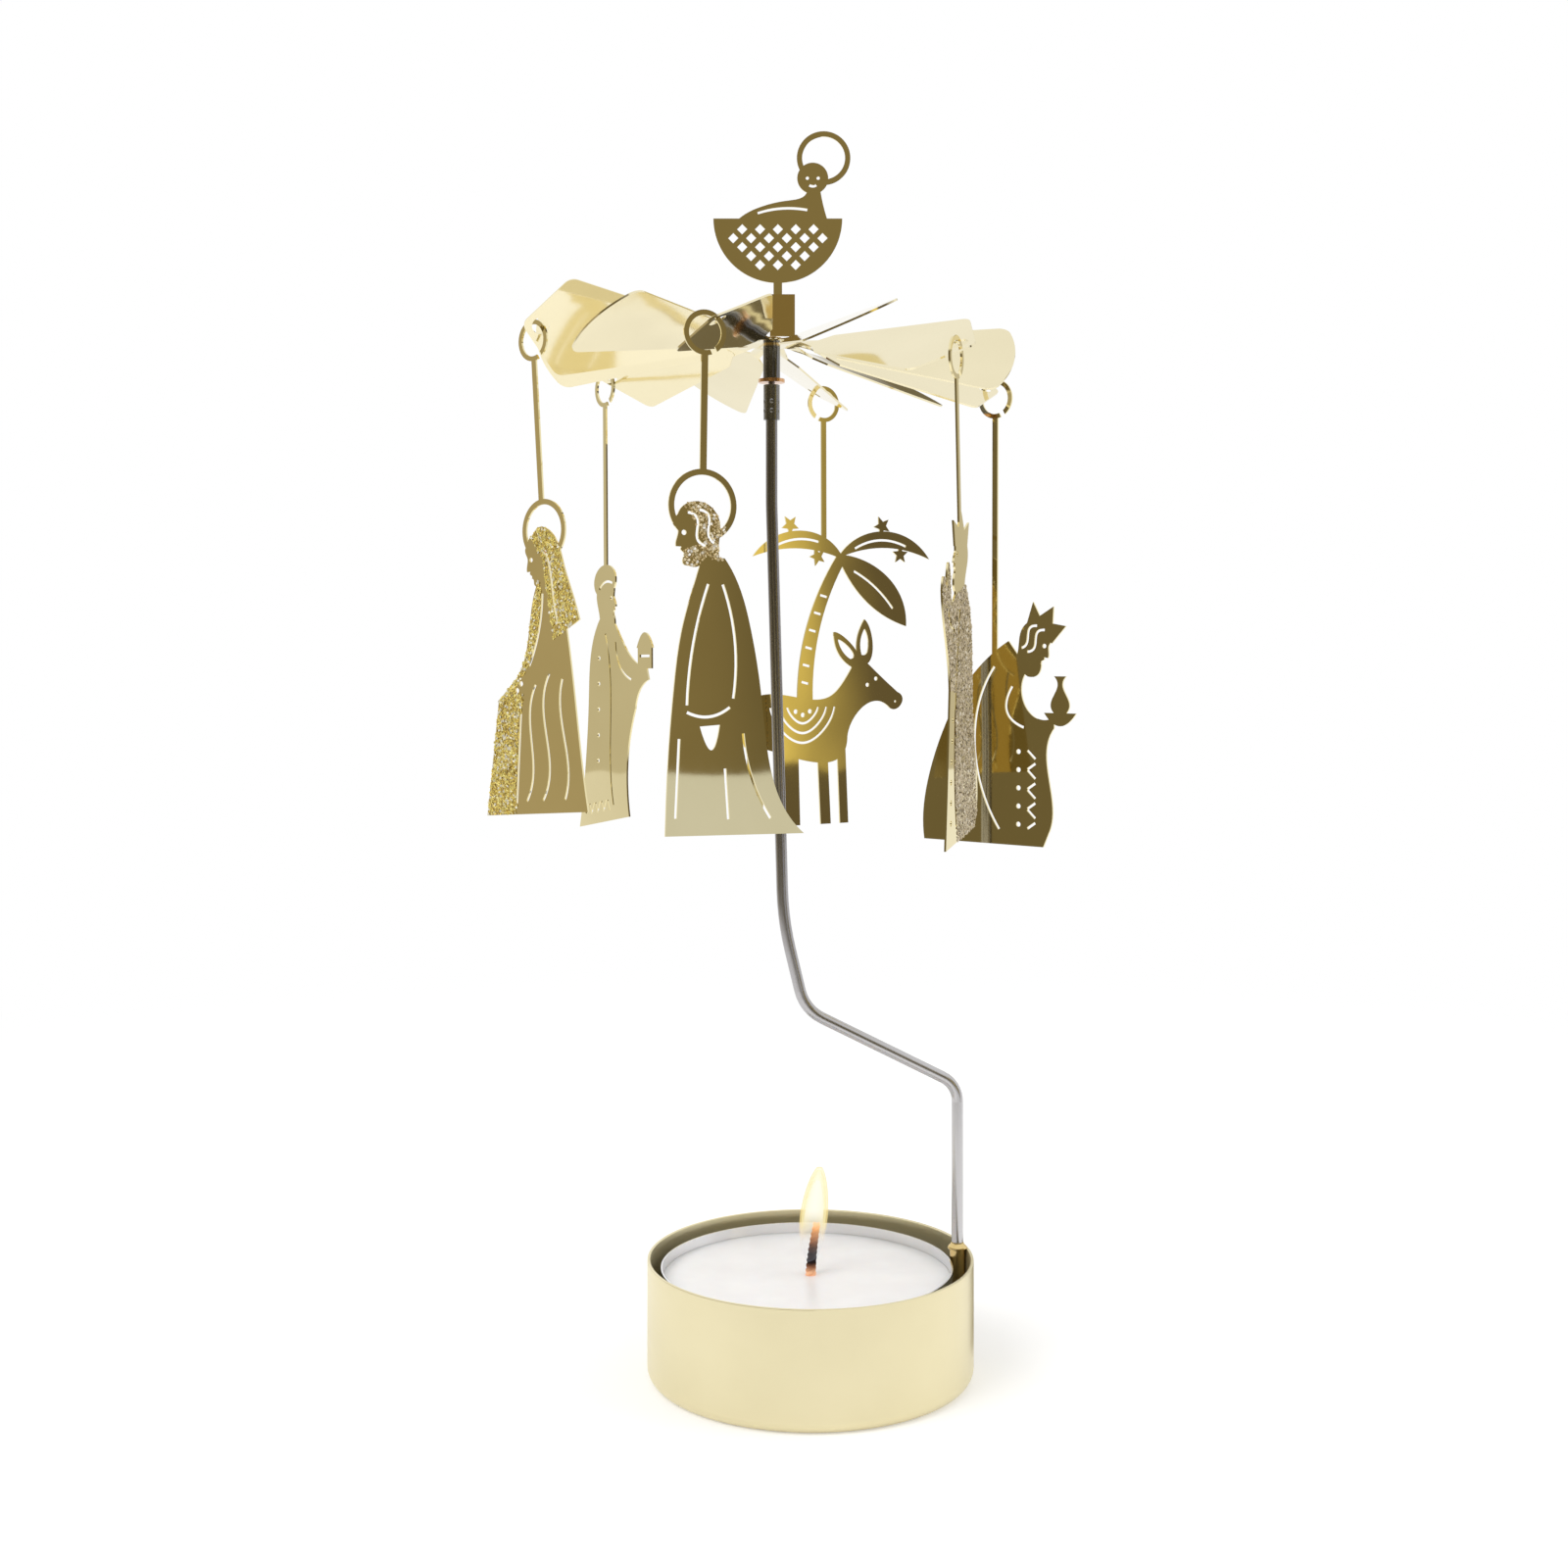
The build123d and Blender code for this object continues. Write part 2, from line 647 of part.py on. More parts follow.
# Hanging figures, each drawn standing on its hem at Y 0
with BuildSketch() as robed_man:
    man_head = (-1.1, 34.4)
    man_head_size = 1.12
    shape(
        [(-4.6, 0), (-4.3, 10.1), (-3.8, 16.8), (-2.9, 23.5), (-1.3, 29.2), (-0.6, 31.6)],
        [(-0.6, 31.6), (2.2, 31.6)],
        [(2.2, 31.6), (3.6, 29.4), (5.6, 23.5), (6.9, 16.8), (7.8, 10.1), (9.2, 4.8), (12.7, 0)],
        [(12.7, 0), (-4.6, 0)],
    )
    halo((-0.6, 37.5), man_halo_diameter)
    head(man_head, 18, -1, man_head_size)
    beard(man_head, 18, -1, 1.0, man_head_size)
    eye(man_head, 18, -1, man_head_size)
    hair(man_head, 18, -1, man_head_size)
    cut_line((0.2, 28.6), (-1.5, 22.0), (-2.2, 14.8))
    cut_line((2.0, 28.6), (3.5, 23.0), (3.5, 15.6))
    cut_line((-2.2, 14.0), (0.5, 13.5), (3.1, 14.6))
    shape([(-0.6, 12.4), (0.9, 9.7), (1.9, 12.6)], [(1.9, 12.6), (-0.6, 12.4)], mode=Mode.SUBTRACT)
    cut_line((4.8, 11.6), (6.0, 6.4), (8.4, 1.8))
    cut_line((-3.1, 11.0), (-3.4, 2.0))
    cut_line((2.6, 7.6), (3.1, 1.8))

with BuildSketch() as veiled_woman:
    woman_head = (0.4, 31.6)
    shape(
        [(-6.7, 0), (-4.7, 10), (-4.1, 14.6)],
        [(-4.1, 14.6), (-6.0, 15.0)],
        [(-6.0, 15.0), (-6.2, 16.2)],
        [(-6.2, 16.2), (-2.8, 20.6), (-1.4, 26.0), (0.0, 28.9)],
        [(0.0, 28.9), (3.6, 28.6)],
        [(3.6, 28.6), (4.9, 20.0), (5.7, 10.0), (6.7, 0)],
        [(6.7, 0), (-6.7, 0)],
    )
    shape(
        [(-11.9, 0), (-9.8, 9.0), (-8.6, 14.4)],
        [(-8.6, 14.4), (-6.2, 16.2)],
        [(-6.2, 16.2), (-3.8, 14.8)],
        [(-3.8, 14.8), (-6.3, 0)],
        [(-6.3, 0), (-11.9, 0)],
    )
    halo((1.4, 35.0), woman_halo_diameter)
    head(woman_head, 18, -1)
    shape(
        [(-0.9, 34.3), (1.1, 35.5), (3.4, 33.8), (4.7, 30.2), (5.9, 26.8), (7.0, 23.4)],
        [(7.0, 23.4), (2.3, 21.6)],
        [(2.3, 21.6), (2.1, 25.4), (1.7, 28.6), (1.1, 31.4), (-0.9, 34.3)],
    )
    eye(woman_head, 18, -1)
    cut_line((1.4, 32.6), (2.3, 29.2), (2.6, 26.2), (3.2, 23.2))
    cut_line((1.1, 17.2), (-0.3, 12.0), (0.3, 7.0), (-1.2, 1.6))
    cut_line((3.4, 16.4), (2.9, 11.0), (3.6, 6.4), (2.8, 1.6))
    cut_line((-1.5, 16.0), (-2.9, 10.4), (-2.7, 6.0), (-4.2, 1.6))
    cut_line((0.6, 27.2), (-0.4, 22.6), (-2.5, 18.4))
    cut_line((-4.5, 12.6), (-6.1, 1.4))
    dots(cut_width, (-5.0, 15.5), (-4.2, 16.3))

with BuildSketch() as gift_king:
    king_head = (-0.6, 32.0)
    shape(
        [(-8.4, 0), (-6.6, 9.0), (-5.6, 18.0), (-4.8, 25.0), (-2.4, 29.4)],
        [(-2.4, 29.4), (1.2, 29.4)],
        [(1.2, 29.4), (3.4, 26.8), (6.0, 24.2), (10.2, 22.8)],
        [(10.2, 22.8), (10.8, 21.0)],
        [(10.8, 21.0), (8.4, 19.6), (7.2, 17.0)],
        [(7.2, 17.0), (5.0, 10.0), (5.4, 2.2)],
        [(5.4, 2.2), (-8.4, 0)],
    )
    head(king_head, 4, 1)
    beard(king_head, 4, 1, 3.4)
    with Locations(Location((king_head[0] - 0.3, king_head[1] + 2.7), 12)):
        Ellipse(3.0, 2.3)
    with Locations((9.8, 24.0)):
        Rectangle(3.6, 3.0)
    shape([(7.7, 25.3), (11.9, 25.3)], [(11.9, 25.3), (9.8, 27.4), (7.7, 25.3)])
    eye(king_head, 4, 1)
    cut_line((-2.4, 33.6), (-0.8, 34.6), (1.2, 34.4))
    cut_line((8.5, 24.2), (11.1, 24.2))
    cut_line((-0.8, 27.4), (0.6, 18.0), (0.4, 9.0), (1.2, 3.6))
    cut_line((2.0, 26.2), (3.4, 22.6), (6.2, 21.0))
    for trim in range(4):
        left, low = -6.6 + 1.7 * trim, 2.0 + 0.27 * trim
        cut_line((left, low), (left + 0.7, low + 1.4))
        cut_line((left + 1.1, low + 1.4), (left + 1.7, low))
    dots(cut_width, (-2.6, 24.0), (-2.7, 20.4), (-2.8, 16.8), (-2.9, 13.2), (-3.0, 9.6))

with BuildSketch() as donkey_palm:
    blanket = (-2.4, 18.2)
    legs = ((-11.4, -8.6, -0.6), (-5.7, -3.2, 0.3), (0.0, 1.7, 0.6), (3.4, 4.8, 0.5))
    for left, right, lean in legs:
        shape(
            [(left, 12.0), (left + lean, 0)],
            [(left + lean, 0), (right + lean, 0)],
            [(right + lean, 0), (right, 12.0)],
            [(right, 12.0), (left, 12.0)],
        )
    shape(
        [(-12.0, 11.4), (-12.9, 15.0), (-11.2, 18.0)],
        [(-11.2, 18.0), (-4.2, 18.5), (2.6, 18.6), (4.8, 20.8), (6.2, 22.9)],
        [(6.2, 22.9), (8.6, 23.3)],
        [(8.6, 23.3), (10.6, 21.6), (14.0, 18.9)],
        [(14.0, 18.9), (14.9, 17.6), (14.0, 16.5), (12.4, 16.8)],
        [(12.4, 16.8), (9.8, 17.6), (7.4, 16.4), (5.2, 12.6)],
        [(5.2, 12.6), (4.4, 10.0), (-3.6, 9.6), (-12.0, 11.4)],
    )
    shape([(6.0, 22.6), (3.6, 24.8), (2.9, 27.7)], [(2.9, 27.7), (5.7, 26.2), (7.3, 23.2), (6.0, 22.6)])
    shape([(7.2, 23.1), (6.9, 26.4), (8.2, 29.6)], [(8.2, 29.6), (9.6, 26.6), (8.7, 23.1), (7.2, 23.1)])
    shape(
        [(-12.2, 16.8), (-13.8, 14.6), (-13.6, 9.6)],
        [(-13.6, 9.6), (-12.8, 13.4), (-11.6, 15.0), (-12.2, 16.8)],
    )
    shape(
        [(-3.3, 17.4), (-2.0, 27.4), (3.5, 38.8)],
        [(3.5, 38.8), (5.0, 38.2)],
        [(5.0, 38.2), (0.3, 27.4), (-0.7, 17.4)],
        [(-0.7, 17.4), (-3.3, 17.4)],
    )
    shape(
        [(4.7, 38.2), (1.4, 41.4), (-3.8, 42.2), (-10.6, 38.4)],
        [(-10.6, 38.4), (-3.4, 39.7), (4.7, 38.2)],
    )
    shape(
        [(3.6, 38.4), (8.4, 42.0), (13.6, 42.4), (19.8, 38.6)],
        [(19.8, 38.6), (12.6, 40.1), (3.6, 38.4)],
    )
    shape(
        [(3.5, 39.0), (10.0, 37.4), (13.9, 34.2), (15.6, 28.6)],
        [(15.6, 28.6), (9.6, 31.4), (3.5, 39.0)],
    )
    star((-4.4, 43.0), 1.5, 180)
    star((11.4, 43.3), 1.5, 168)
    star((14.6, 39.2), 1.4, 0)
    star((0.2, 38.6), 1.4, 20)
    cut_line((6.4, 36.6), (10.0, 34.4), (13.2, 31.2))
    cut_line((6.6, 39.9), (10.8, 41.2), (15.6, 40.4))
    cut_line((0.4, 40.7), (-3.4, 41.0), (-7.2, 39.8))
    for rung in range(6):
        rung_height = 20.4 + 2.5 * rung
        rise = rung_height - 17.4
        rung_middle = -2.0 - 0.051 * rise + 0.0166 * rise * rise
        cut_line((rung_middle - 0.6, rung_height + 0.15), (rung_middle + 0.6, rung_height - 0.15))
    for ring in (2.6, 4.0, 5.4):
        cut_line(
            (blanket[0] - ring, blanket[1] - 1.3),
            (blanket[0] - ring * 0.64, blanket[1] - 1.0 - ring * 0.68),
            (blanket[0], blanket[1] - 1.0 - ring),
            (blanket[0] + ring * 0.64, blanket[1] - 1.0 - ring * 0.68),
            (blanket[0] + ring, blanket[1] - 1.3),
        )
    dots(cut_width, (-3.6, 16.3), (-2.4, 15.8), (-1.2, 16.3))
    shape(
        [(5.7, 23.8), (4.2, 25.2), (3.6, 26.6)],
        [(3.6, 26.6), (5.2, 25.8), (6.3, 24.0), (5.7, 23.8)],
        mode=Mode.SUBTRACT,
    )
    shape(
        [(7.7, 24.4), (7.5, 26.4), (8.2, 28.2)],
        [(8.2, 28.2), (8.9, 26.5), (8.3, 24.4), (7.7, 24.4)],
        mode=Mode.SUBTRACT,
    )
    dots(eye_radius, (8.7, 20.0), (10.2, 20.9))
    dots(cut_width / 2, (13.6, 17.5))

with BuildSketch() as bowing_king:
    bowed_head = (8.4, 26.7)
    shape(
        [(-9.1, 0), (-9.3, 3.0), (-8.4, 8.5), (-5.9, 15.2), (-1.5, 22.2), (1.3, 24.9), (4.4, 27.0)],
        [(4.4, 27.0), (7.4, 23.2)],
        [(7.4, 23.2), (6.4, 20.2), (7.6, 17.6), (11.4, 17.0)],
        [(11.4, 17.0), (11.4, 15.6)],
        [(11.4, 15.6), (10.6, 14.2), (10.8, 8.0), (10.6, 1.8)],
        [(10.6, 1.8), (9.8, 0)],
        [(9.8, 0), (-9.1, 0)],
    )
    head(bowed_head, 30, 1)
    beard(bowed_head, 30, 1, 2.4)
    crown(bowed_head, 30, 1)
    shape([(9.9, 17.6), (12.3, 15.9), (14.7, 17.6)], [(14.7, 17.6), (9.9, 17.6)])
    shape(
        [(11.7, 17.3), (11.1, 19.4), (11.9, 21.0), (11.4, 22.4)],
        [(11.4, 22.4), (13.2, 22.4)],
        [(13.2, 22.4), (12.7, 21.0), (13.5, 19.4), (12.9, 17.3)],
        [(12.9, 17.3), (11.7, 17.3)],
    )
    eye(bowed_head, 30, 1)
    hair(bowed_head, 30, 1)
    cut_line((2.2, 23.6), (-0.8, 16.0), (0.0, 8.0), (3.0, 2.0))
    cut_line((5.0, 21.0), (4.2, 17.6), (6.8, 15.6))
    for trim in range(4):
        cut_line((7.4, 12.6 - 2.6 * trim), (8.6, 11.5 - 2.6 * trim))
        cut_line((8.6, 10.9 - 2.6 * trim), (7.4, 10.1 - 2.6 * trim))
    dots(cut_width, (6.0, 12.4), (6.0, 10.0), (6.0, 7.6), (6.0, 5.2), (6.0, 2.8))

with BuildSketch() as raised_arms_king:
    proud_head = (0.4, 33.9)
    shape(
        [(-7.6, 0), (-6.0, 10.0), (-4.7, 18.6)],
        [(-4.7, 18.6), (-5.2, 22.4), (-6.3, 26.4), (-6.9, 30.4)],
        [(-6.9, 30.4), (-6.1, 32.0), (-5.4, 31.0)],
        [(-5.4, 31.0), (-4.7, 28.2)],
        [(-4.7, 28.2), (-5.0, 32.0), (-4.3, 33.6), (-3.7, 32.4)],
        [(-3.7, 32.4), (-3.1, 28.9), (-1.4, 30.5)],
        [(-1.4, 30.5), (2.0, 30.8)],
        [(2.0, 30.8), (3.7, 26.6), (3.8, 15.0), (4.4, 3.0), (3.4, 1.3)],
        [(3.4, 1.3), (-7.6, 0)],
    )
    head(proud_head, -6, -1)
    beard(proud_head, -6, -1, 2.6)
    crown(proud_head, -6, -1)
    eye(proud_head, -6, -1)
    cut_line((-0.4, 28.4), (-2.7, 18.0), (-3.8, 9.0), (-3.6, 2.4))
    cut_line((-2.5, 25.4), (-4.2, 26.4), (-4.9, 28.0))
    dots(cut_width, (-5.6, 3.0), (-5.4, 5.4), (-5.2, 7.8), (-4.8, 10.2), (-4.4, 12.6), (-4.0, 15.0))

# Each figure: its drawing, the wing that carries it, the yaw of its plane, the strip's foot on it, the
# strip's length, how far past the hook hole the ring's middle and its bearing are, and the ring's gap angle
hanging_figures = {
    "robed_man_figure": (robed_man, 8, 25.0, (-0.6, 41.5), 13.45, ring_reach, 0.0, -62.0),
    "veiled_woman_figure": (veiled_woman, 6, -41.0, (1.2, 38.6), 18.0, ring_reach, 0.0, -62.0),
    "gift_king_figure": (gift_king, 4, -55.0, (-0.7, 36.7), 22.75, ring_reach, 0.0, -62.0),
    "donkey_palm_figure": (donkey_palm, 2, 31.0, (1.3, 40.8), 17.6, ring_reach, ring_reach, -118.0),
    "bowing_king_figure": (bowing_king, 0, -39.0, (2.2, 25.2), 31.8, long_reach, long_reach, -62.0),
    "raised_arms_king_figure": (raised_arms_king, 10, 67.0, (0.4, 38.6), 16.9, ring_reach, 0.0, -62.0),
}

for name, (drawing, wing, yaw, attach, strip_length, reach, bearing, gap_angle) in hanging_figures.items():
    wing_angle = wing_start + wing * wing_spacing
    outward = 1 if cos(radians(wing_angle - yaw)) > 0 else -1
    hole = wing_plane(wing).from_local_coords((hook_hole_reach, 0, 0))
    pivot = (
        hole.X + outward * bearing * cos(radians(yaw)),
        hole.Y + outward * bearing * sin(radians(yaw)),
        hole.Z,
    )
    ring_middle = (outward * (reach - bearing), ring_rise - ring_inner_radius)
    strip_foot = ring_middle[1] + strip_lap - ring_outer_radius - strip_length
    drawing_place = (ring_middle[0] - attach[0], strip_foot - attach[1])
    with BuildSketch() as outline:
        with Locations(ring_middle):
            Circle(ring_outer_radius)
            Circle(ring_inner_radius, mode=Mode.SUBTRACT)
        with Locations(Location(ring_middle, gap_angle)):
            Rectangle(ring_diameter, ring_gap, align=(Align.MIN, Align.CENTER), mode=Mode.SUBTRACT)
        with Locations((ring_middle[0], strip_foot - strip_lap)):
            Rectangle(strip_width, strip_length + strip_lap, align=(Align.CENTER, Align.MIN))
        add(drawing.sketch.moved(Location(drawing_place)))
    middle = outline.face().center(CenterOf.MASS)
    hang_angle = -degrees(atan2(middle.X, -middle.Y))
    with BuildPart() as hanging_figure:
        with BuildSketch(upright_plane(pivot, yaw)):
            add(outline.sketch.rotate(Axis.Z, hang_angle))
        extrude(amount=sheet / 2, both=True)
    hanging_figure.part.label = name
    export_step(hanging_figure.part, f"parts/{name}.step")
    print(name, "yaw", yaw, "pivot", [round(value, 3) for value in pivot])
    print("  drawing at", [round(value, 3) for value in drawing_place], "turned", round(hang_angle, 3))

print("turning axis", axis_base, "tealight centre", (round(tealight_x, 3), round(tealight_y, 3)))
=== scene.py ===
# %% [markdown]
# # A carousel that turns over a tealight
# The object is thin polished brass sheet on a steel wire: a cup for a tealight, a pinwheel on a needle
# and flat figures hanging from its wings. The sheet, wire and bearing come ready from the frame, so this
# lesson gives them their finishes and adds what only shows in a picture: glitter, a charred wick, a
# solder bead and a flame.

# %% Load the frame
import json
import math

import bmesh
import bpy
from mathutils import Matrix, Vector


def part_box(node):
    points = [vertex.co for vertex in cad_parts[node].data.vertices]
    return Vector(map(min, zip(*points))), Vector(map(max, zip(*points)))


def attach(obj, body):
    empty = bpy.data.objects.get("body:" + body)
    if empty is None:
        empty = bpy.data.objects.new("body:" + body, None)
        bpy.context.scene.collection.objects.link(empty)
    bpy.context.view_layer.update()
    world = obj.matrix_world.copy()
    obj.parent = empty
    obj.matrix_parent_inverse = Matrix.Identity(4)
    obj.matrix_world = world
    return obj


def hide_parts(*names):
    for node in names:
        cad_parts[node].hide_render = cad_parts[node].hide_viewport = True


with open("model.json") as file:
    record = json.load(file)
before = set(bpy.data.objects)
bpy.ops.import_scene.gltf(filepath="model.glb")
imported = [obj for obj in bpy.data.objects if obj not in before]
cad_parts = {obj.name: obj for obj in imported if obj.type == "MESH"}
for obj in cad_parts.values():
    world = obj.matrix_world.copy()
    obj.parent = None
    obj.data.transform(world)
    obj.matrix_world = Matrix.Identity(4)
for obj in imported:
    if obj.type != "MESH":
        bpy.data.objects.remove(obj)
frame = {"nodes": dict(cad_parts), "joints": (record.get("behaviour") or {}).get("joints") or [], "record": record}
nodes = frame["nodes"]
joints = {joint["name"]: joint for joint in frame["joints"]}
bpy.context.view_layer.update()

# %% [markdown]
# ## The camera
# The photograph looks from the height of the hanging figures, from about a quarter of a metre. A close
# camera shows the near wings larger than the far ones, so the distance matters more than the lens. The
# camera stays level, so that upright edges stay upright, and a small shift moves the picture down.

# %% Camera
mm = 0.001
camera_place = Vector((-3.4, -253.0, 93.0)) * mm
camera_shift = -0.0849
lens_mm = 45.0

camera_data = bpy.data.cameras.new("camera")
camera_data.lens = lens_mm
camera_data.sensor_width = 36.0
camera_data.shift_y = camera_shift
camera_data.clip_start = 0.005
camera_data.clip_end = 20.0
camera = bpy.data.objects.new("camera", camera_data)
camera.location = camera_place
camera.rotation_euler = (math.radians(90), 0, 0)
bpy.context.scene.collection.objects.link(camera)
bpy.context.scene.camera = camera
bpy.context.scene.view_settings.view_transform = "Standard"
print("camera at", [round(value, 3) for value in camera_place])

# %% [markdown]
# ## Node helpers
# Every finish below is a small node tree. A few helpers keep the trees short: one starts a material, one
# adds a node with its settings, one joins two sockets, one makes a colour ramp and one a soft step.

# %% Node helpers


def new_material(name):
    """A material with an empty tree, its tree and its output node."""
    material = bpy.data.materials.new(name)
    material.use_nodes = True
    tree = material.node_tree
    tree.nodes.clear()
    output = tree.nodes.new("ShaderNodeOutputMaterial")
    return material, tree, output


def add_node(tree, kind, inputs=None, **settings):
    """A node with its settings and the values of its input sockets."""
    node = tree.nodes.new(kind)
    for key, value in settings.items():
        setattr(node, key, value)
    for key, value in (inputs or {}).items():
        node.inputs[key].default_value = value
    return node


def join(tree, start, end):
    """A link from one socket to another."""
    tree.links.new(start, end)


def color_ramp(tree, factor, stops):
    """A ramp through stops of place and colour, read at a factor."""
    ramp = add_node(tree, "ShaderNodeValToRGB")
    elements = ramp.color_ramp.elements
    elements.remove(elements[1])
    elements[0].position = stops[0][0]
    elements[0].color = (*stops[0][1], 1)
    for place, color in stops[1:]:
        elements.new(place).color = (*color, 1)
    join(tree, factor, ramp.inputs["Fac"])
    return ramp.outputs["Color"]


def soft_step(tree, value, start, end):
    """0 before the start, 1 after the end and a smooth rise between."""
    step = add_node(
        tree,
        "ShaderNodeMapRange",
        {"From Min": start, "From Max": end},
        interpolation_type="SMOOTHSTEP",
    )
    join(tree, value, step.inputs["Value"])
    return step.outputs["Result"]


def math_node(tree, operation, first, second):
    """Two sockets, or a socket and a number, put through one operation."""
    node = add_node(tree, "ShaderNodeMath", operation=operation)
    join(tree, first, node.inputs[0])
    if isinstance(second, float):
        node.inputs[1].default_value = second
    else:
        join(tree, second, node.inputs[1])
    return node.outputs[0]


def mix_color(tree, factor, first, second):
    """A mix of two colours, each given as a socket or as a value."""
    mix = add_node(tree, "ShaderNodeMix", data_type="RGBA")
    for key, value in (("A", first), ("B", second)):
        if isinstance(value, tuple):
            mix.inputs[key].default_value = (*value, 1)
        else:
            join(tree, value, mix.inputs[key])
    join(tree, factor, mix.inputs["Factor"])
    return mix.outputs["Result"]


print("helpers ready")

# %% [markdown]
# ## What the metal sees
# Polished sheet is only as good as what it reflects. In a photo studio the table and the background are
# white, and the dark room behind the camera gives brass its olive tones. A ring of panels round the object
# is enough for that: each one starts at a compass angle, so every flat figure mirrors its own panel. To the
# camera itself the sky and the far floor are plain white.

# %% Panels of the room
white = (1.0, 1.0, 1.0)
olive = (0.17, 0.137, 0.07)
olive_light = (0.25, 0.2, 0.1)
tan = (0.46, 0.39, 0.25)
cream = (0.62, 0.58, 0.48)
cool_paper = (0.72, 0.74, 0.8)
gold_card = (0.92, 0.74, 0.24)
brown = (0.14, 0.11, 0.06)
room_panels = [
    (-180, tan),
    (-172, tan),
    (-167, olive),
    (-97, olive),
    (-92, olive_light),
    (-86, olive_light),
    (-80, olive),
    (-47, olive),
    (-45, olive_light),
    (-43, olive_light),
    (-40.5, olive),
    (-37, olive),
    (-33, gold_card),
    (-27.0, gold_card),
    (-26.6, brown),
    (-15, brown),
    (-5, white),
    (42, white),
    (46, cream),
    (54, cream),
    (60, white),
    (75, white),
    (77, olive),
    (84, olive),
    (85.5, white),
    (142, white),
    (150, cream),
    (160, cream),
    (168, tan),
    (180, tan),
]
table_panels = [
    (-180, tan),
    (-172, tan),
    (-167, olive),
    (-64, olive),
    (-56, cool_paper),
    (-37, cool_paper),
    (-34, brown),
    (-22, brown),
    (-18, white),
    (75, white),
    (77, olive),
    (84, olive),
    (85.5, white),
    (150, white),
    (160, cream),
    (168, tan),
    (180, tan),
]


def panel_ring(tree, place, panels):
    """The colour of the panel that a place or direction points to, by its compass angle."""
    parts = add_node(tree, "ShaderNodeSeparateXYZ")
    join(tree, place, parts.inputs[0])
    angle = add_node(tree, "ShaderNodeMath", operation="ARCTAN2")
    join(tree, parts.outputs["Y"], angle.inputs[0])
    join(tree, parts.outputs["X"], angle.inputs[1])
    turn = add_node(tree, "ShaderNodeMapRange", {"From Min": -math.pi, "From Max": math.pi})
    join(tree, angle.outputs[0], turn.inputs["Value"])
    stops = [((degrees + 180) / 360, color) for degrees, color in panels]
    return color_ramp(tree, turn.outputs["Result"], stops)


print("panels:", len(room_panels), "round the room,", len(table_panels), "round the table")

# %% [markdown]
# ## The table
# The carousel stands on white paper that keeps a soft shadow round the cup. A plain lit plane would turn
# grey towards the back, so the paper is matt near the cup and fades into an even white further out. A
# mirror sees the table's panels there instead.

# %% Floor
floor_radius = 1.3
floor_lift = 0.3
paper = (0.82, 0.82, 0.82)
far_start = 0.10
far_end = 0.32

floor_mesh = bpy.data.meshes.new("floor")
floor_build = bmesh.new()
bmesh.ops.create_circle(floor_build, cap_ends=True, segments=96, radius=floor_radius)
floor_build.to_mesh(floor_mesh)
floor_build.free()
floor = bpy.data.objects.new("floor", floor_mesh)
bpy.context.scene.collection.objects.link(floor)

floor_paint, tree, output = new_material("floor_paint")
place = add_node(tree, "ShaderNodeTexCoord").outputs["Object"]
reach = add_node(tree, "ShaderNodeVectorMath", operation="LENGTH")
join(tree, place, reach.inputs[0])
far = soft_step(tree, reach.outputs["Value"], far_start, far_end)
rays = add_node(tree, "ShaderNodeLightPath")
mirrored = rays.outputs["Is Glossy Ray"]
seen = math_node(tree, "MAXIMUM", rays.outputs["Is Camera Ray"], mirrored)
seen = math_node(tree, "MAXIMUM", seen, rays.outputs["Is Transmission Ray"])
near_paper = add_node(tree, "ShaderNodeBsdfDiffuse", {"Color": (*paper, 1)})
near_glow = add_node(tree, "ShaderNodeEmission", {"Color": (1, 1, 1, 1)})
near_both = add_node(tree, "ShaderNodeAddShader")
join(tree, math_node(tree, "MULTIPLY", seen, floor_lift), near_glow.inputs["Strength"])
join(tree, near_paper.outputs[0], near_both.inputs[0])
join(tree, near_glow.outputs[0], near_both.inputs[1])
far_glow = add_node(tree, "ShaderNodeEmission", {"Strength": 1.0})
join(tree, mix_color(tree, mirrored, white, panel_ring(tree, place, table_panels)), far_glow.inputs["Color"])
either = add_node(tree, "ShaderNodeMixShader")
join(tree, math_node(tree, "MULTIPLY", far, seen), either.inputs["Fac"])
join(tree, near_both.outputs[0], either.inputs[1])
join(tree, far_glow.outputs[0], either.inputs[2])
join(tree, either.outputs[0], output.inputs["Surface"])
floor_mesh.materials.append(floor_paint)
print("floor:", 2 * floor_radius, "m across")

# %% [markdown]
# ## The sky
# Walls and a ceiling could be modelled, but one world shader is enough: the room's panels round the sides
# and a white ceiling above. The camera's own rays see plain white, and matt surfaces get a little less
# light, which keeps the shadow soft but visible.

# %% Sky
sky_light = 0.75
ceiling_start = 0.35
ceiling_end = 0.6

world = bpy.data.worlds.new("studio")
bpy.context.scene.world = world
world.use_nodes = True
tree = world.node_tree
tree.nodes.clear()
output = tree.nodes.new("ShaderNodeOutputWorld")
direction = add_node(tree, "ShaderNodeTexCoord").outputs["Generated"]
parts = add_node(tree, "ShaderNodeSeparateXYZ")
join(tree, direction, parts.inputs[0])
ceiling = soft_step(tree, parts.outputs["Z"], ceiling_start, ceiling_end)
studio = mix_color(tree, ceiling, panel_ring(tree, direction, room_panels), white)
rays = add_node(tree, "ShaderNodeLightPath")
sky_color = mix_color(tree, rays.outputs["Is Camera Ray"], studio, white)
sky_color = mix_color(tree, rays.outputs["Is Transmission Ray"], sky_color, white)
strength = add_node(tree, "ShaderNodeMapRange", {"To Min": 1.0, "To Max": sky_light})
sky = add_node(tree, "ShaderNodeBackground")
join(tree, rays.outputs["Is Diffuse Ray"], strength.inputs["Value"])
join(tree, sky_color, sky.inputs["Color"])
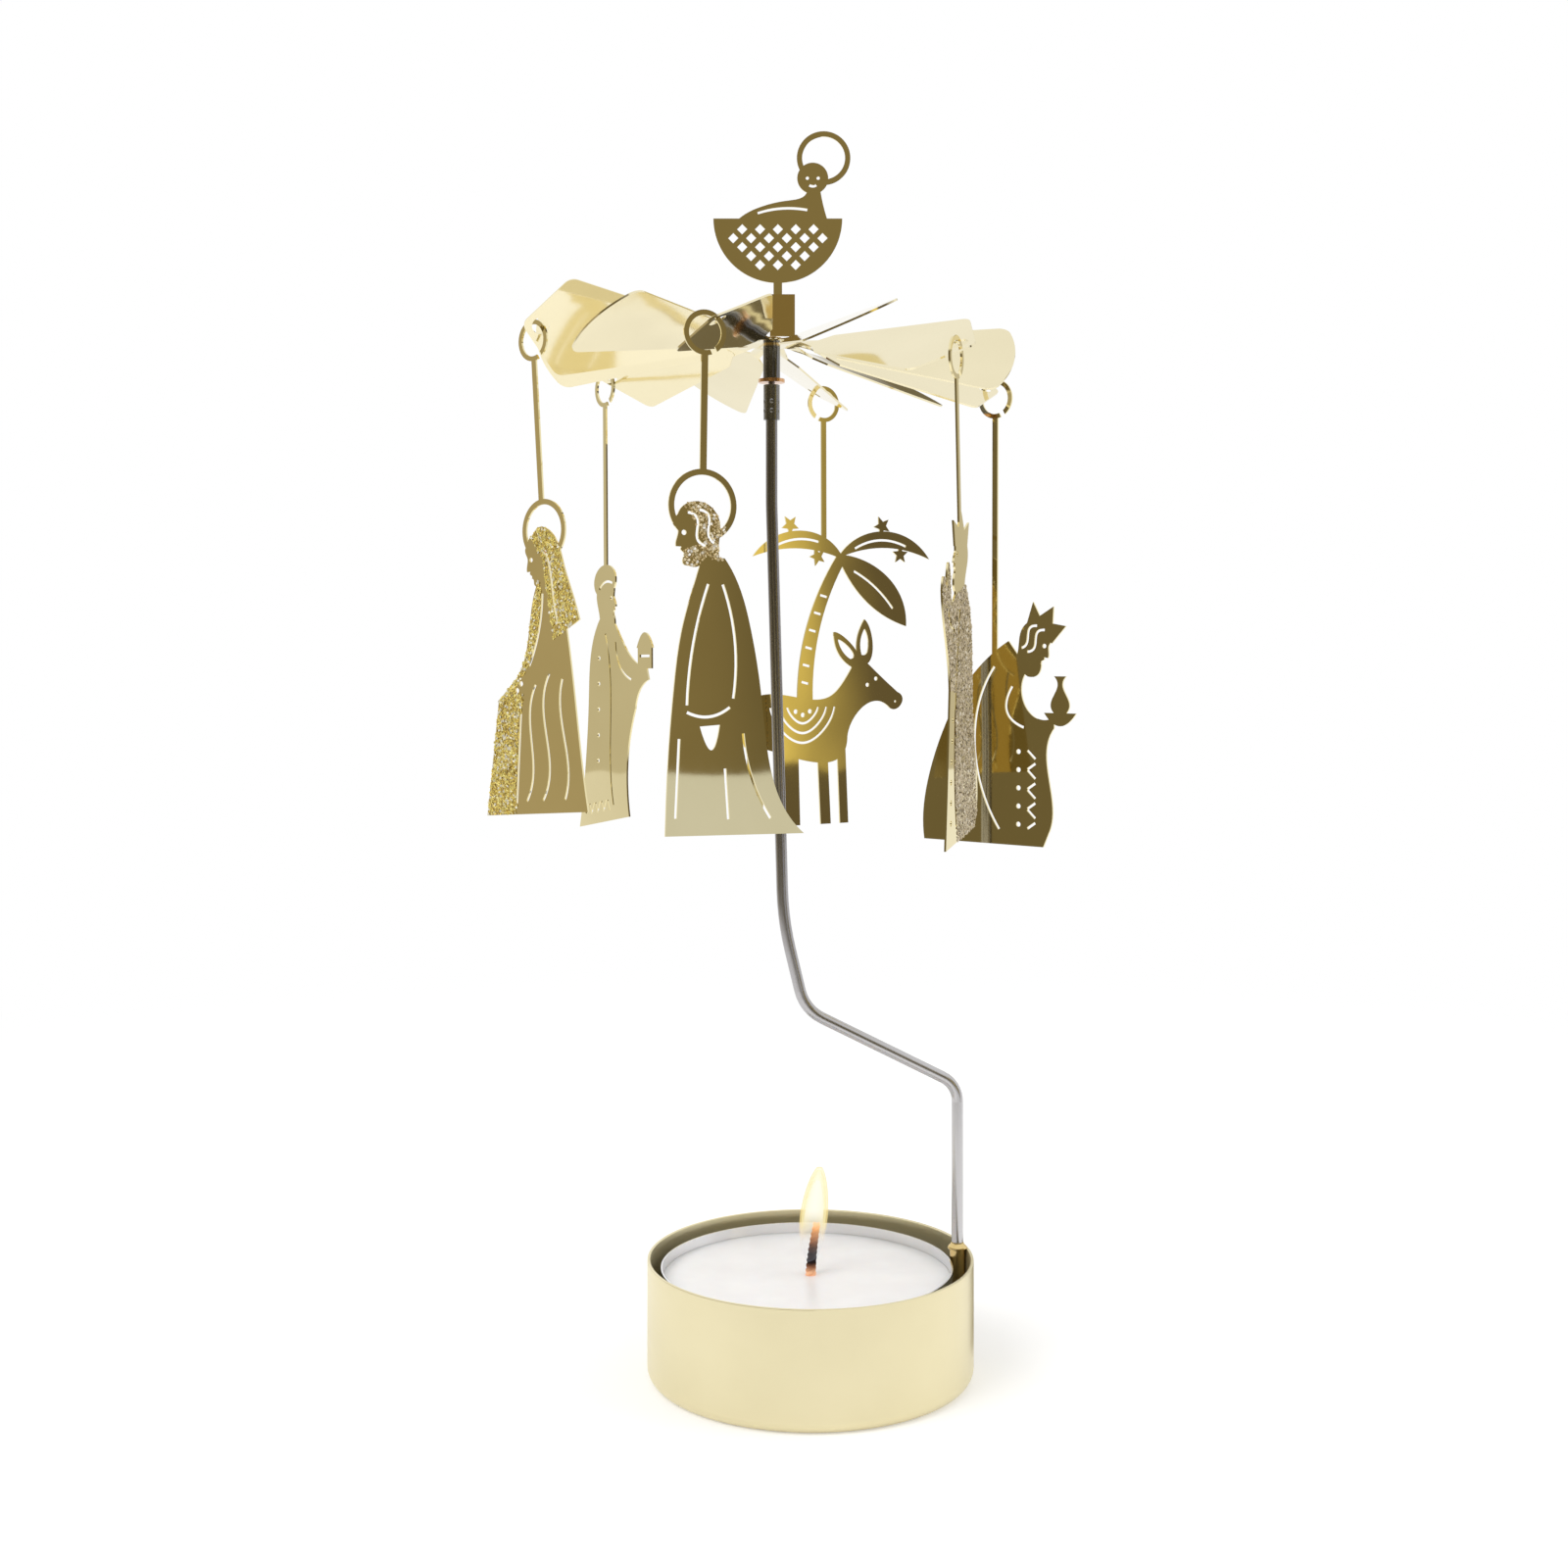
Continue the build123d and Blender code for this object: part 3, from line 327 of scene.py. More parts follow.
join(tree, strength.outputs["Result"], sky.inputs["Strength"])
join(tree, sky.outputs[0], output.inputs["Surface"])
print("sky:", sky_light, "of full light on matt surfaces")

# %% [markdown]
# ## The dark card
# The cup is so low that it only mirrors the table round it, and then its right edge melts into the white.
# Photographers lay a dark card beside a bright object to draw its edge. This card is a low curved strip
# that only reflections can see.

# %% Dark card
card_radius = 0.0265
card_height = 0.014
card_start = 8
card_end = 66
card_steps = 24

card_mesh = bpy.data.meshes.new("dark_card")
card_build = bmesh.new()
posts = []
for step in range(card_steps + 1):
    angle = math.radians(card_start + (card_end - card_start) * step / card_steps)
    foot = Vector((math.cos(angle), math.sin(angle), 0)) * card_radius
    posts.append((card_build.verts.new(foot), card_build.verts.new(foot + Vector((0, 0, card_height)))))
for here, there in zip(posts, posts[1:]):
    card_build.faces.new((here[0], there[0], there[1], here[1]))
card_build.to_mesh(card_mesh)
card_build.free()
dark_card = bpy.data.objects.new("dark_card", card_mesh)
bpy.context.scene.collection.objects.link(dark_card)
card_paint, tree, output = new_material("card_paint")
card_tone = add_node(tree, "ShaderNodeEmission", {"Color": (*olive, 1), "Strength": 1.0})
join(tree, card_tone.outputs[0], output.inputs["Surface"])
card_mesh.materials.append(card_paint)
for ray in ("camera", "diffuse", "shadow", "transmission"):
    setattr(dark_card, "visible_" + ray, False)
print("dark card:", card_end - card_start, "degrees of the cup's edge")

# %% [markdown]
# ## The lamps
# Two large soft lamps do the work of softboxes: a key lamp from the upper left and a weaker fill lamp from
# the right. Polished sheet would mirror them as bright discs, so reflections don't see them.

# %% Lamps
lamps = {
    "key_lamp": ((-0.55, -0.45, 0.75), 0.7, 4.2),
    "fill_lamp": ((0.75, -0.15, 0.45), 0.6, 1.6),
}
aim = Vector((0, 0, 0.06))
for name, (lamp_place, size, watts) in lamps.items():
    lamp_data = bpy.data.lights.new(name, "AREA")
    lamp_data.shape = "DISK"
    lamp_data.size = size
    lamp_data.energy = watts
    lamp = bpy.data.objects.new(name, lamp_data)
    lamp.location = lamp_place
    lamp.rotation_euler = (aim - Vector(lamp_place)).to_track_quat("-Z", "Y").to_euler()
    lamp.visible_glossy = False
    bpy.context.scene.collection.objects.link(lamp)
    print(name, watts, "W")

# %% [markdown]
# ## Metal finishes
# All the metal here is one recipe with other numbers. The base colour drifts a little, as a lacquered or
# handled sheet does. A low, wide noise in the bump makes the sheet slightly wavy, so reflections bend, and
# a fine noise drawn out along the working direction gives the grain: round the cup where it was polished
# on a lathe, along the wire where it was drawn. Bump keeps the frame's meshes as they are.

# %% Metal recipe
drift_value = 0.9
drift_saturation = 1.08
gloss_low = 0.9
gloss_high = 1.12


def metal(name, tint, roughness, wave_size, wave_depth, grain, grain_depth, body=1.0):
    """Worked metal: a drifting tint, wide waves and a fine grain given by its scale along X, Y and Z."""
    material, tree, output = new_material(name)
    place = add_node(tree, "ShaderNodeTexCoord").outputs["Object"]
    drift = add_node(tree, "ShaderNodeTexNoise", {"Scale": 90.0, "Detail": 3.0})
    join(tree, place, drift.inputs["Vector"])
    drawn_out = add_node(tree, "ShaderNodeMapping", {"Scale": grain})
    join(tree, place, drawn_out.inputs["Vector"])
    lines = add_node(tree, "ShaderNodeTexNoise", {"Scale": 1.0, "Detail": 4.0, "Roughness": 0.65})
    join(tree, drawn_out.outputs[0], lines.inputs["Vector"])
    waves = add_node(tree, "ShaderNodeTexNoise", {"Scale": 1.0 / wave_size, "Detail": 1.0})
    join(tree, place, waves.inputs["Vector"])
    shader = add_node(tree, "ShaderNodeBsdfPrincipled", {"Metallic": body})
    if callable(tint):
        color = tint(tree, place)
    else:
        color = tint
    darker = add_node(tree, "ShaderNodeHueSaturation", {"Value": drift_value, "Saturation": drift_saturation})
    if isinstance(color, tuple):
        darker.inputs["Color"].default_value = (*color, 1)
    else:
        join(tree, color, darker.inputs["Color"])
    drifting = mix_color(tree, drift.outputs["Fac"], darker.outputs["Color"], color)
    join(tree, drifting, shader.inputs["Base Color"])
    gloss_range = {"From Min": 0.3, "From Max": 0.7}
    gloss_range["To Min"] = gloss_low * roughness
    gloss_range["To Max"] = gloss_high * roughness
    gloss = add_node(tree, "ShaderNodeMapRange", gloss_range)
    join(tree, lines.outputs["Fac"], gloss.inputs["Value"])
    join(tree, gloss.outputs["Result"], shader.inputs["Roughness"])
    swell = add_node(tree, "ShaderNodeBump", {"Strength": 1.0, "Distance": wave_depth})
    join(tree, waves.outputs["Fac"], swell.inputs["Height"])
    scratch = add_node(tree, "ShaderNodeBump", {"Strength": 1.0, "Distance": grain_depth})
    join(tree, lines.outputs["Fac"], scratch.inputs["Height"])
    join(tree, swell.outputs["Normal"], scratch.inputs["Normal"])
    join(tree, scratch.outputs["Normal"], shader.inputs["Normal"])
    join(tree, shader.outputs[0], output.inputs["Surface"])
    return material


def by_height(node, stops):
    """A tint that changes up a node: stops of height share and colour."""
    low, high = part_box(node)

    def tint(tree, place):
        parts = add_node(tree, "ShaderNodeSeparateXYZ")
        join(tree, place, parts.inputs[0])
        share = add_node(tree, "ShaderNodeMapRange", {"From Min": low[2], "From Max": high[2]})
        join(tree, parts.outputs["Z"], share.inputs["Value"])
        return color_ramp(tree, share.outputs["Result"], stops)

    return tint


print("metal recipe ready")

# %% Metal finishes
# Painted light on the wire: its colour is lighter towards the foot and darker upward. This is a painted reflection
# and painted shade along steel of one colour.
wire_painted_light_stops = [
    (0.0, (0.66, 0.65, 0.66)),
    (0.3, (0.58, 0.57, 0.58)),
    (0.45, (0.42, 0.41, 0.42)),
    (0.8, (0.26, 0.25, 0.26)),
]
tube_stops = [
    (0.0, (0.7, 0.42, 0.24)),
    (0.07, (0.7, 0.42, 0.24)),
    (0.1, (0.17, 0.17, 0.19)),
    (0.8, (0.2, 0.2, 0.21)),
    (0.86, (0.75, 0.55, 0.25)),
]
sheet_grain = (900.0, 900.0, 900.0)
turned_grain = (60.0, 60.0, 9000.0)
wire_grain = (9000.0, 9000.0, 60.0)
wire_painted_light_tint = by_height("stem_rod", wire_painted_light_stops)
tube_tint = by_height("bearing_tube", tube_stops)
turned = {"grain": turned_grain}
drawn = {"grain": wire_grain, "grain_depth": 2e-6}
rolled = {"grain": sheet_grain}
recipes = {
    "cup_gold": dict(
        turned,
        tint=(0.87, 0.79, 0.53),
        roughness=0.34,
        wave_size=0.02,
        wave_depth=2e-5,
        grain_depth=2e-8,
        body=0.8,
    ),
    "socket_brass": dict(
        turned, tint=(0.8, 0.62, 0.3), roughness=0.22, wave_size=0.004, wave_depth=1e-5, grain_depth=2e-6
    ),
    "stem_steel": dict(drawn, tint=wire_painted_light_tint, roughness=0.25, wave_size=0.02, wave_depth=2e-5),
    "dark_steel": dict(drawn, tint=(0.24, 0.24, 0.25), roughness=0.2, wave_size=0.0015, wave_depth=4e-5),
    "tealight_aluminium": dict(
        rolled, tint=(0.86, 0.86, 0.87), roughness=0.22, wave_size=0.004, wave_depth=5e-5, grain_depth=2e-6
    ),
    "propeller_gold": dict(
        rolled, tint=(0.88, 0.8, 0.56), roughness=0.07, wave_size=0.012, wave_depth=1.2e-4, grain_depth=4e-7
    ),
    "clip_gold": dict(
        rolled, tint=(0.84, 0.67, 0.34), roughness=0.1, wave_size=0.003, wave_depth=4e-5, grain_depth=1e-6
    ),
    "figure_gold": dict(
        rolled, tint=(0.86, 0.76, 0.46), roughness=0.03, wave_size=0.02, wave_depth=1e-4, grain_depth=2e-7
    ),
    "tube_steel": dict(drawn, tint=tube_tint, roughness=0.16, wave_size=0.0015, wave_depth=4e-5),
}
finishes = {name: metal(name, **recipe) for name, recipe in recipes.items()}
tube_finish = finishes["tube_steel"]
print("metal finishes:", ", ".join(sorted(finishes)))

# %% [markdown]
# ## Wax
# Paraffin is white, a little cloudy, and light goes into it before it comes back. Subsurface scattering
# shows that, with a soft noise for the cloudiness and a shallow bump for the way it set.

# %% Wax
wax, tree, output = new_material("wax")
place = add_node(tree, "ShaderNodeTexCoord").outputs["Object"]
clouds = add_node(tree, "ShaderNodeTexNoise", {"Scale": 220.0, "Detail": 4.0})
join(tree, place, clouds.inputs["Vector"])
wax_shader = add_node(
    tree,
    "ShaderNodeBsdfPrincipled",
    {"Subsurface Weight": 0.35, "Subsurface Radius": (0.004, 0.0032, 0.0026), "Subsurface Scale": 1.0},
)
wax_color = color_ramp(tree, clouds.outputs["Fac"], [(0.3, (0.87, 0.85, 0.85)), (0.7, (0.92, 0.905, 0.9))])
join(tree, wax_color, wax_shader.inputs["Base Color"])
wax_gloss = add_node(tree, "ShaderNodeMapRange", {"To Min": 0.25, "To Max": 0.45})
join(tree, clouds.outputs["Fac"], wax_gloss.inputs["Value"])
join(tree, wax_gloss.outputs["Result"], wax_shader.inputs["Roughness"])
wax_bump = add_node(tree, "ShaderNodeBump", {"Strength": 1.0, "Distance": 6e-5})
join(tree, clouds.outputs["Fac"], wax_bump.inputs["Height"])
join(tree, wax_bump.outputs["Normal"], wax_shader.inputs["Normal"])
join(tree, wax_shader.outputs[0], output.inputs["Surface"])
finishes["wax"] = wax
print("wax ready")

# %% [markdown]
# ## Wick
# A wick is a braid of cotton strands, charred where it burns. A plain rod would do from far away, but the
# flame draws the eye to it, so three strands wind round each other here along the leaning line of the
# frame's wick. The strands follow a rule, so a short loop makes them, and a curve with a round bevel gives
# them thickness. The colour goes by height: cotton in the wax with a painted glow of the flame's light at
# its foot, char above, a glowing tip.

# %% Wick strands
strand_count = 3
strand_turns = 3.5
strand_steps = 60
strand_width = 0.6
strand_taper = 0.35
swing_width = 0.62
swing_taper = 0.3
wick_sunk = 0.8 * mm
wick_overrun = 1.1 * mm
tip_inset = 0.67
lean_curl = 1.6
wick_low, wick_high = [Vector(corner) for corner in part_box("tealight_wick")]
wax_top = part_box("tealight_wax")[1][2]
wick_radius = (wick_high.y - wick_low.y) / 2
wick_foot = Vector((wick_low.x + wick_radius, (wick_low.y + wick_high.y) / 2, wax_top - wick_sunk))
wick_lean = wick_high.x - tip_inset * wick_radius - wick_foot.x
wick_top = wick_high.z + wick_overrun
wick_tall = wick_top - wick_foot.z


def wick_point(share):
    """The middle of the wick at a share of its height above the wax."""
    return wick_foot + Vector((wick_lean * share ** lean_curl, 0, wick_tall * share))


strand_curve = bpy.data.curves.new("wick_strands", "CURVE")
strand_curve.dimensions = "3D"
strand_curve.bevel_depth = strand_width * wick_radius
strand_curve.bevel_resolution = 3
strand_curve.use_fill_caps = True
for strand in range(strand_count):
    spline = strand_curve.splines.new("POLY")
    spline.points.add(strand_steps)
    for step in range(strand_steps + 1):
        share = step / strand_steps
        angle = 2 * math.pi * (strand / strand_count + strand_turns * share)
        swing = swing_width * wick_radius * (1 - swing_taper * share)
        around = Vector((math.cos(angle), math.sin(angle), 0)) * swing
        spline.points[step].co = (*(wick_point(share) + around), 1)
        spline.points[step].radius = 1 - strand_taper * share
strand_object = bpy.data.objects.new("wick_strands", strand_curve)
bpy.context.scene.collection.objects.link(strand_object)
view_layer = bpy.context.view_layer
view_layer.update()
depsgraph = bpy.context.evaluated_depsgraph_get()
strand_mesh = bpy.data.meshes.new_from_object(strand_object.evaluated_get(depsgraph))
bpy.data.objects.remove(strand_object)
charred_wick = bpy.data.objects.new("charred_wick", strand_mesh)
bpy.context.scene.collection.objects.link(charred_wick)
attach(charred_wick, "tealight")
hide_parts("tealight_wick")
print("wick:", strand_count, "strands,", len(strand_mesh.polygons), "faces")

# %% Charred cotton
char, tree, output = new_material("charred_cotton")
place = add_node(tree, "ShaderNodeTexCoord").outputs["Object"]
fibres = add_node(tree, "ShaderNodeTexNoise", {"Scale": 6000.0, "Detail": 3.0})
join(tree, place, fibres.inputs["Vector"])
parts = add_node(tree, "ShaderNodeSeparateXYZ")
join(tree, place, parts.inputs[0])
height = add_node(tree, "ShaderNodeMapRange", {"From Min": wick_foot.z, "From Max": wick_top})
join(tree, parts.outputs["Z"], height.inputs["Value"])
char_stops = [
    (0.12, (0.85, 0.5, 0.3)),
    (0.22, (0.3, 0.13, 0.07)),
    (0.3, (0.02, 0.012, 0.012)),
    (0.48, (0.03, 0.015, 0.01)),
    (0.64, (0.14, 0.05, 0.02)),
    (0.85, (0.3, 0.1, 0.03)),
    (0.97, (0.8, 0.3, 0.06)),
]
# Emission up the wick: a painted glow of the flame's light at the foot, and the ember's own glow at the tip.
ember_and_painted_glow_stops = [
    (0.1, (0.25, 0.1, 0.05)),
    (0.25, (0, 0, 0)),
    (0.6, (0, 0, 0)),
    (0.97, (0.6, 0.17, 0.02)),
]
char_settings = {"Roughness": 0.9, "Specular IOR Level": 0.1, "Emission Strength": 0.8}
char_shader = add_node(tree, "ShaderNodeBsdfPrincipled", char_settings)
join(tree, color_ramp(tree, height.outputs["Result"], char_stops), char_shader.inputs["Base Color"])
join(tree, color_ramp(tree, height.outputs["Result"], ember_and_painted_glow_stops), char_shader.inputs["Emission Color"])
char_bump = add_node(tree, "ShaderNodeBump", {"Strength": 1.0, "Distance": 6e-5})
join(tree, fibres.outputs["Fac"], char_bump.inputs["Height"])
join(tree, char_bump.outputs["Normal"], char_shader.inputs["Normal"])
join(tree, char_shader.outputs[0], output.inputs["Surface"])
strand_mesh.materials.clear()
strand_mesh.materials.append(char)
finishes["wick"] = char
print("charred cotton:", len(char_stops), "shades from foot to tip")

# %% [markdown]
# ## Solder bead
# The wire's foot is soldered into its socket, and the solder stands up round the wire as a small shiny
# collar. It is a turned shape, so a profile spun about the wire's own axis makes it.

# %% Solder bead
socket_low, socket_high = [Vector(corner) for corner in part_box("rod_socket")]
bead_profile = [(0.78, 0.9), (0.9, 0.62), (1.12, 0.42), (1.3, 0.2), (1.28, 0.02), (0.78, 0.0)]
bead_sides = 32
bead_axis = (socket_low + socket_high) / 2
bead_mesh = bpy.data.meshes.new("solder_bead")
bead_build = bmesh.new()
rings = []
for side in range(bead_sides):
    angle = 2 * math.pi * side / bead_sides
    ring = []
    for out, up in bead_profile:
        spot = (bead_axis.x + out * mm * math.cos(angle), bead_axis.y + out * mm * math.sin(angle))
        ring.append(bead_build.verts.new((*spot, socket_high.z + up * mm)))
    rings.append(ring)
for side in range(bead_sides):
    here = rings[side]
    there = rings[(side + 1) % bead_sides]
    for step in range(len(bead_profile)):
        after = (step + 1) % len(bead_profile)
        bead_build.faces.new((here[step], there[step], there[after], here[after]))
bmesh.ops.recalc_face_normals(bead_build, faces=bead_build.faces)
for face in bead_build.faces:
    face.smooth = True
bead_build.to_mesh(bead_mesh)
bead_build.free()
solder_bead = bpy.data.objects.new("solder_bead", bead_mesh)
bpy.context.scene.collection.objects.link(solder_bead)
bead_mesh.materials.append(finishes["socket_brass"])
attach(solder_bead, "stand")
print("solder bead:", len(bead_mesh.polygons), "faces")

# %% [markdown]
# ## Flame
# A candle flame is light from hot soot, clear near the wick and brightest in its middle. Volume shading
# would give it soft edges, but a volume is lost when the model leaves Blender, so three thin shells stand
# inside one another instead: each glows a little and lets the one within show through. They lean with the
# draught, like the wick.

# %% Flame shells
flame_bottom = wax_top + 1.2 * mm
flame_top = wax_top + 13.8 * mm
flame_lean = 1.2 * mm
flame_sides = 40
flame_rings = 48
flame_bend = 1.4
swell_skew = 0.9
swell_power = 0.55
glow_strength = 1.05
foot_tones = [(0.0, (0.6, 0.65, 0.75)), (0.14, (0.72, 0.73, 0.77)), (0.28, (0.95, 0.8, 0.6))]
flame_layers = {
    "flame_edge": {
        "width": 1.8 * mm,
        "share": 1.0,
        "color": (1.0, 0.8, 0.34),
        "middle": 0.15,
        "stops": [(0.0, 0.14), (0.25, 0.18), (0.42, 0.55), (1.0, 0.65)],
    },
    "flame_body": {
        "width": 1.55 * mm,
        "share": 0.97,
        "color": (1.0, 0.92, 0.54),
        "middle": 0.25,
        "stops": [(0.0, 0.0), (0.2, 0.05), (0.4, 0.6), (1.0, 0.7)],
    },
    "flame_core": {
        "width": 1.25 * mm,
        "share": 0.86,
        "color": (1.0, 0.995, 0.95),
        "middle": 1.0,
        "stops": [(0.0, 0.0), (0.36, 0.0), (0.56, 0.9), (1.0, 0.9)],
    },
}


def flame_shell(build, width, share, slot):
    """One closed shell: a long drop with a blunt tip, widest a little below its middle."""
    top = flame_bottom + (flame_top - flame_bottom) * share
    rings = []
    for ring in range(1, flame_rings):
        up = ring / flame_rings
        swell = math.sin(math.pi * up ** swell_skew) ** swell_power
        middle = Vector((wick_foot.x, wick_foot.y, flame_bottom + (top - flame_bottom) * up))
        middle.x += flame_lean * (up * share) ** flame_bend
        points = []
        for side in range(flame_sides):
            angle = 2 * math.pi * side / flame_sides
            around = Vector((math.cos(angle), math.sin(angle), 0)) * width * swell
            points.append(build.verts.new(middle + around))
        rings.append(points)
    faces = []
    for lower, upper in zip(rings, rings[1:]):
        for side in range(flame_sides):
            after = (side + 1) % flame_sides
            faces.append(build.faces.new((lower[side], lower[after], upper[after], upper[side])))
    faces.append(build.faces.new(list(reversed(rings[0]))))
    faces.append(build.faces.new(rings[-1]))
    for face in faces:
        face.smooth = True
        face.material_index = slot


def flame_glow(name, stops, color, middle):
    """A glow that grows with height, thinned where the shell faces us to a share of its rim."""
    material, tree, output = new_material(name)
    place = add_node(tree, "ShaderNodeTexCoord").outputs["Object"]
    parts = add_node(tree, "ShaderNodeSeparateXYZ")
    join(tree, place, parts.inputs[0])
    height = add_node(tree, "ShaderNodeMapRange", {"From Min": flame_bottom, "From Max": flame_top})
    join(tree, parts.outputs["Z"], height.inputs["Value"])
    solid = color_ramp(tree, height.outputs["Result"], [(at, (value,) * 3) for at, value in stops])
    tones = [*foot_tones, (0.42, color)]
    glow = add_node(tree, "ShaderNodeEmission", {"Strength": glow_strength})
    join(tree, color_ramp(tree, height.outputs["Result"], tones), glow.inputs["Color"])
    rim = add_node(tree, "ShaderNodeLayerWeight", {"Blend": 0.5}).outputs["Facing"]
    thin = add_node(tree, "ShaderNodeMapRange", {"To Min": middle})
    join(tree, rim, thin.inputs["Value"])
    clear = add_node(tree, "ShaderNodeBsdfTransparent")
    both = add_node(tree, "ShaderNodeMixShader")
    join(tree, math_node(tree, "MULTIPLY", solid, thin.outputs["Result"]), both.inputs["Fac"])
    join(tree, clear.outputs[0], both.inputs[1])
    join(tree, glow.outputs[0], both.inputs[2])
    join(tree, both.outputs[0], output.inputs["Surface"])
    return material


print("flame shape ready")

# %% Flame
flame_mesh = bpy.data.meshes.new("flame")
flame_build = bmesh.new()
for slot, (name, layer) in enumerate(flame_layers.items()):
    flame_shell(flame_build, layer["width"], layer["share"], slot)
    flame_mesh.materials.append(flame_glow(name, layer["stops"], layer["color"], layer["middle"]))
flame_build.to_mesh(flame_mesh)
flame_build.free()
flame = bpy.data.objects.new("flame", flame_mesh)
bpy.context.scene.collection.objects.link(flame)
flame.visible_shadow = False
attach(flame, "tealight")
print("flame:", len(flame_layers), "shells,", len(flame_mesh.polygons), "faces")

# %% [markdown]
# ## Glitter
# Parts of three figures carry glitter: glued flakes about a third of a millimetre across, each tilted its
# own way, so each catches another light. A sparkle texture would do from one side, but real flakes glint
# as the figure turns. Geometry Nodes scatter them: points spread over a patch that floats in front of the
# figure, each point looks back at the sheet and is dropped where it meets a cut-out, and a small hexagon
# lands where it meets metal.

# %% Glitter tree


def tree_input(tree, name, kind):
    """A named input of a node group."""
    return tree.interface.new_socket(name, in_out="INPUT", socket_type=kind)


glitter = bpy.data.node_groups.new("glitter", "GeometryNodeTree")
tree_input(glitter, "Patch", "NodeSocketGeometry")
glitter_inputs = {
    "Figure": tree_input(glitter, "Figure", "NodeSocketObject"),
    "Spacing": tree_input(glitter, "Spacing", "NodeSocketFloat"),
    "Flake": tree_input(glitter, "Flake", "NodeSocketFloat"),
    "Tilt": tree_input(glitter, "Tilt", "NodeSocketFloat"),
    "Lift": tree_input(glitter, "Lift", "NodeSocketFloat"),
    "Seed": tree_input(glitter, "Seed", "NodeSocketInt"),
    "Finish": tree_input(glitter, "Finish", "NodeSocketMaterial"),
}
glitter.interface.new_socket("Flakes", in_out="OUTPUT", socket_type="NodeSocketGeometry")
print("glitter tree takes", ", ".join(glitter_inputs))

# %% Glitter nodes
patch_gap = 1.0 * mm
flake_corners = 6
flake_scale_low = 0.6
flake_scale_high = 1.25
flakes_per_area = 6e7
given = glitter.nodes.new("NodeGroupInput").outputs
spread = add_node(
    glitter,
    "GeometryNodeDistributePointsOnFaces",
    {"Density Max": flakes_per_area},
    distribute_method="POISSON",
)
sheet = add_node(glitter, "GeometryNodeObjectInfo", transform_space="RELATIVE")
inward = add_node(glitter, "ShaderNodeVectorMath", {"Scale": -1.0}, operation="SCALE")
look = add_node(glitter, "GeometryNodeRaycast", {"Ray Length": 2 * patch_gap})
missed = add_node(glitter, "FunctionNodeBooleanMath", operation="NOT")
keep = add_node(glitter, "GeometryNodeDeleteGeometry", domain="POINT")
stand_off = add_node(glitter, "ShaderNodeVectorMath", operation="SCALE")
landing = add_node(glitter, "ShaderNodeVectorMath", operation="ADD")
land = add_node(glitter, "GeometryNodeSetPosition")
hexagon = add_node(glitter, "GeometryNodeMeshCircle", {"Vertices": flake_corners}, fill_type="NGON")
tilt_low = add_node(glitter, "ShaderNodeMath", {1: -1.0}, operation="MULTIPLY")
least = add_node(glitter, "ShaderNodeCombineXYZ", {"Z": 0.0})
most = add_node(glitter, "ShaderNodeCombineXYZ", {"Z": 2 * math.pi})
tilts = add_node(glitter, "FunctionNodeRandomValue", data_type="FLOAT_VECTOR")
turns = add_node(glitter, "FunctionNodeEulerToRotation")
tilted = add_node(glitter, "FunctionNodeRotateRotation", rotation_space="LOCAL")
flake_scales = add_node(
    glitter,
    "FunctionNodeRandomValue",
    {"Min": flake_scale_low, "Max": flake_scale_high},
    data_type="FLOAT",
)
strew = add_node(glitter, "GeometryNodeInstanceOnPoints")
shades = add_node(glitter, "FunctionNodeRandomValue", data_type="FLOAT")
fleck = add_node(
    glitter, "GeometryNodeStoreNamedAttribute", {"Name": "fleck"}, data_type="FLOAT", domain="INSTANCE"
)
realized = add_node(glitter, "GeometryNodeRealizeInstances")
painted = add_node(glitter, "GeometryNodeSetMaterial")
result = glitter.nodes.new("NodeGroupOutput")
print("glitter nodes:", len(glitter.nodes))

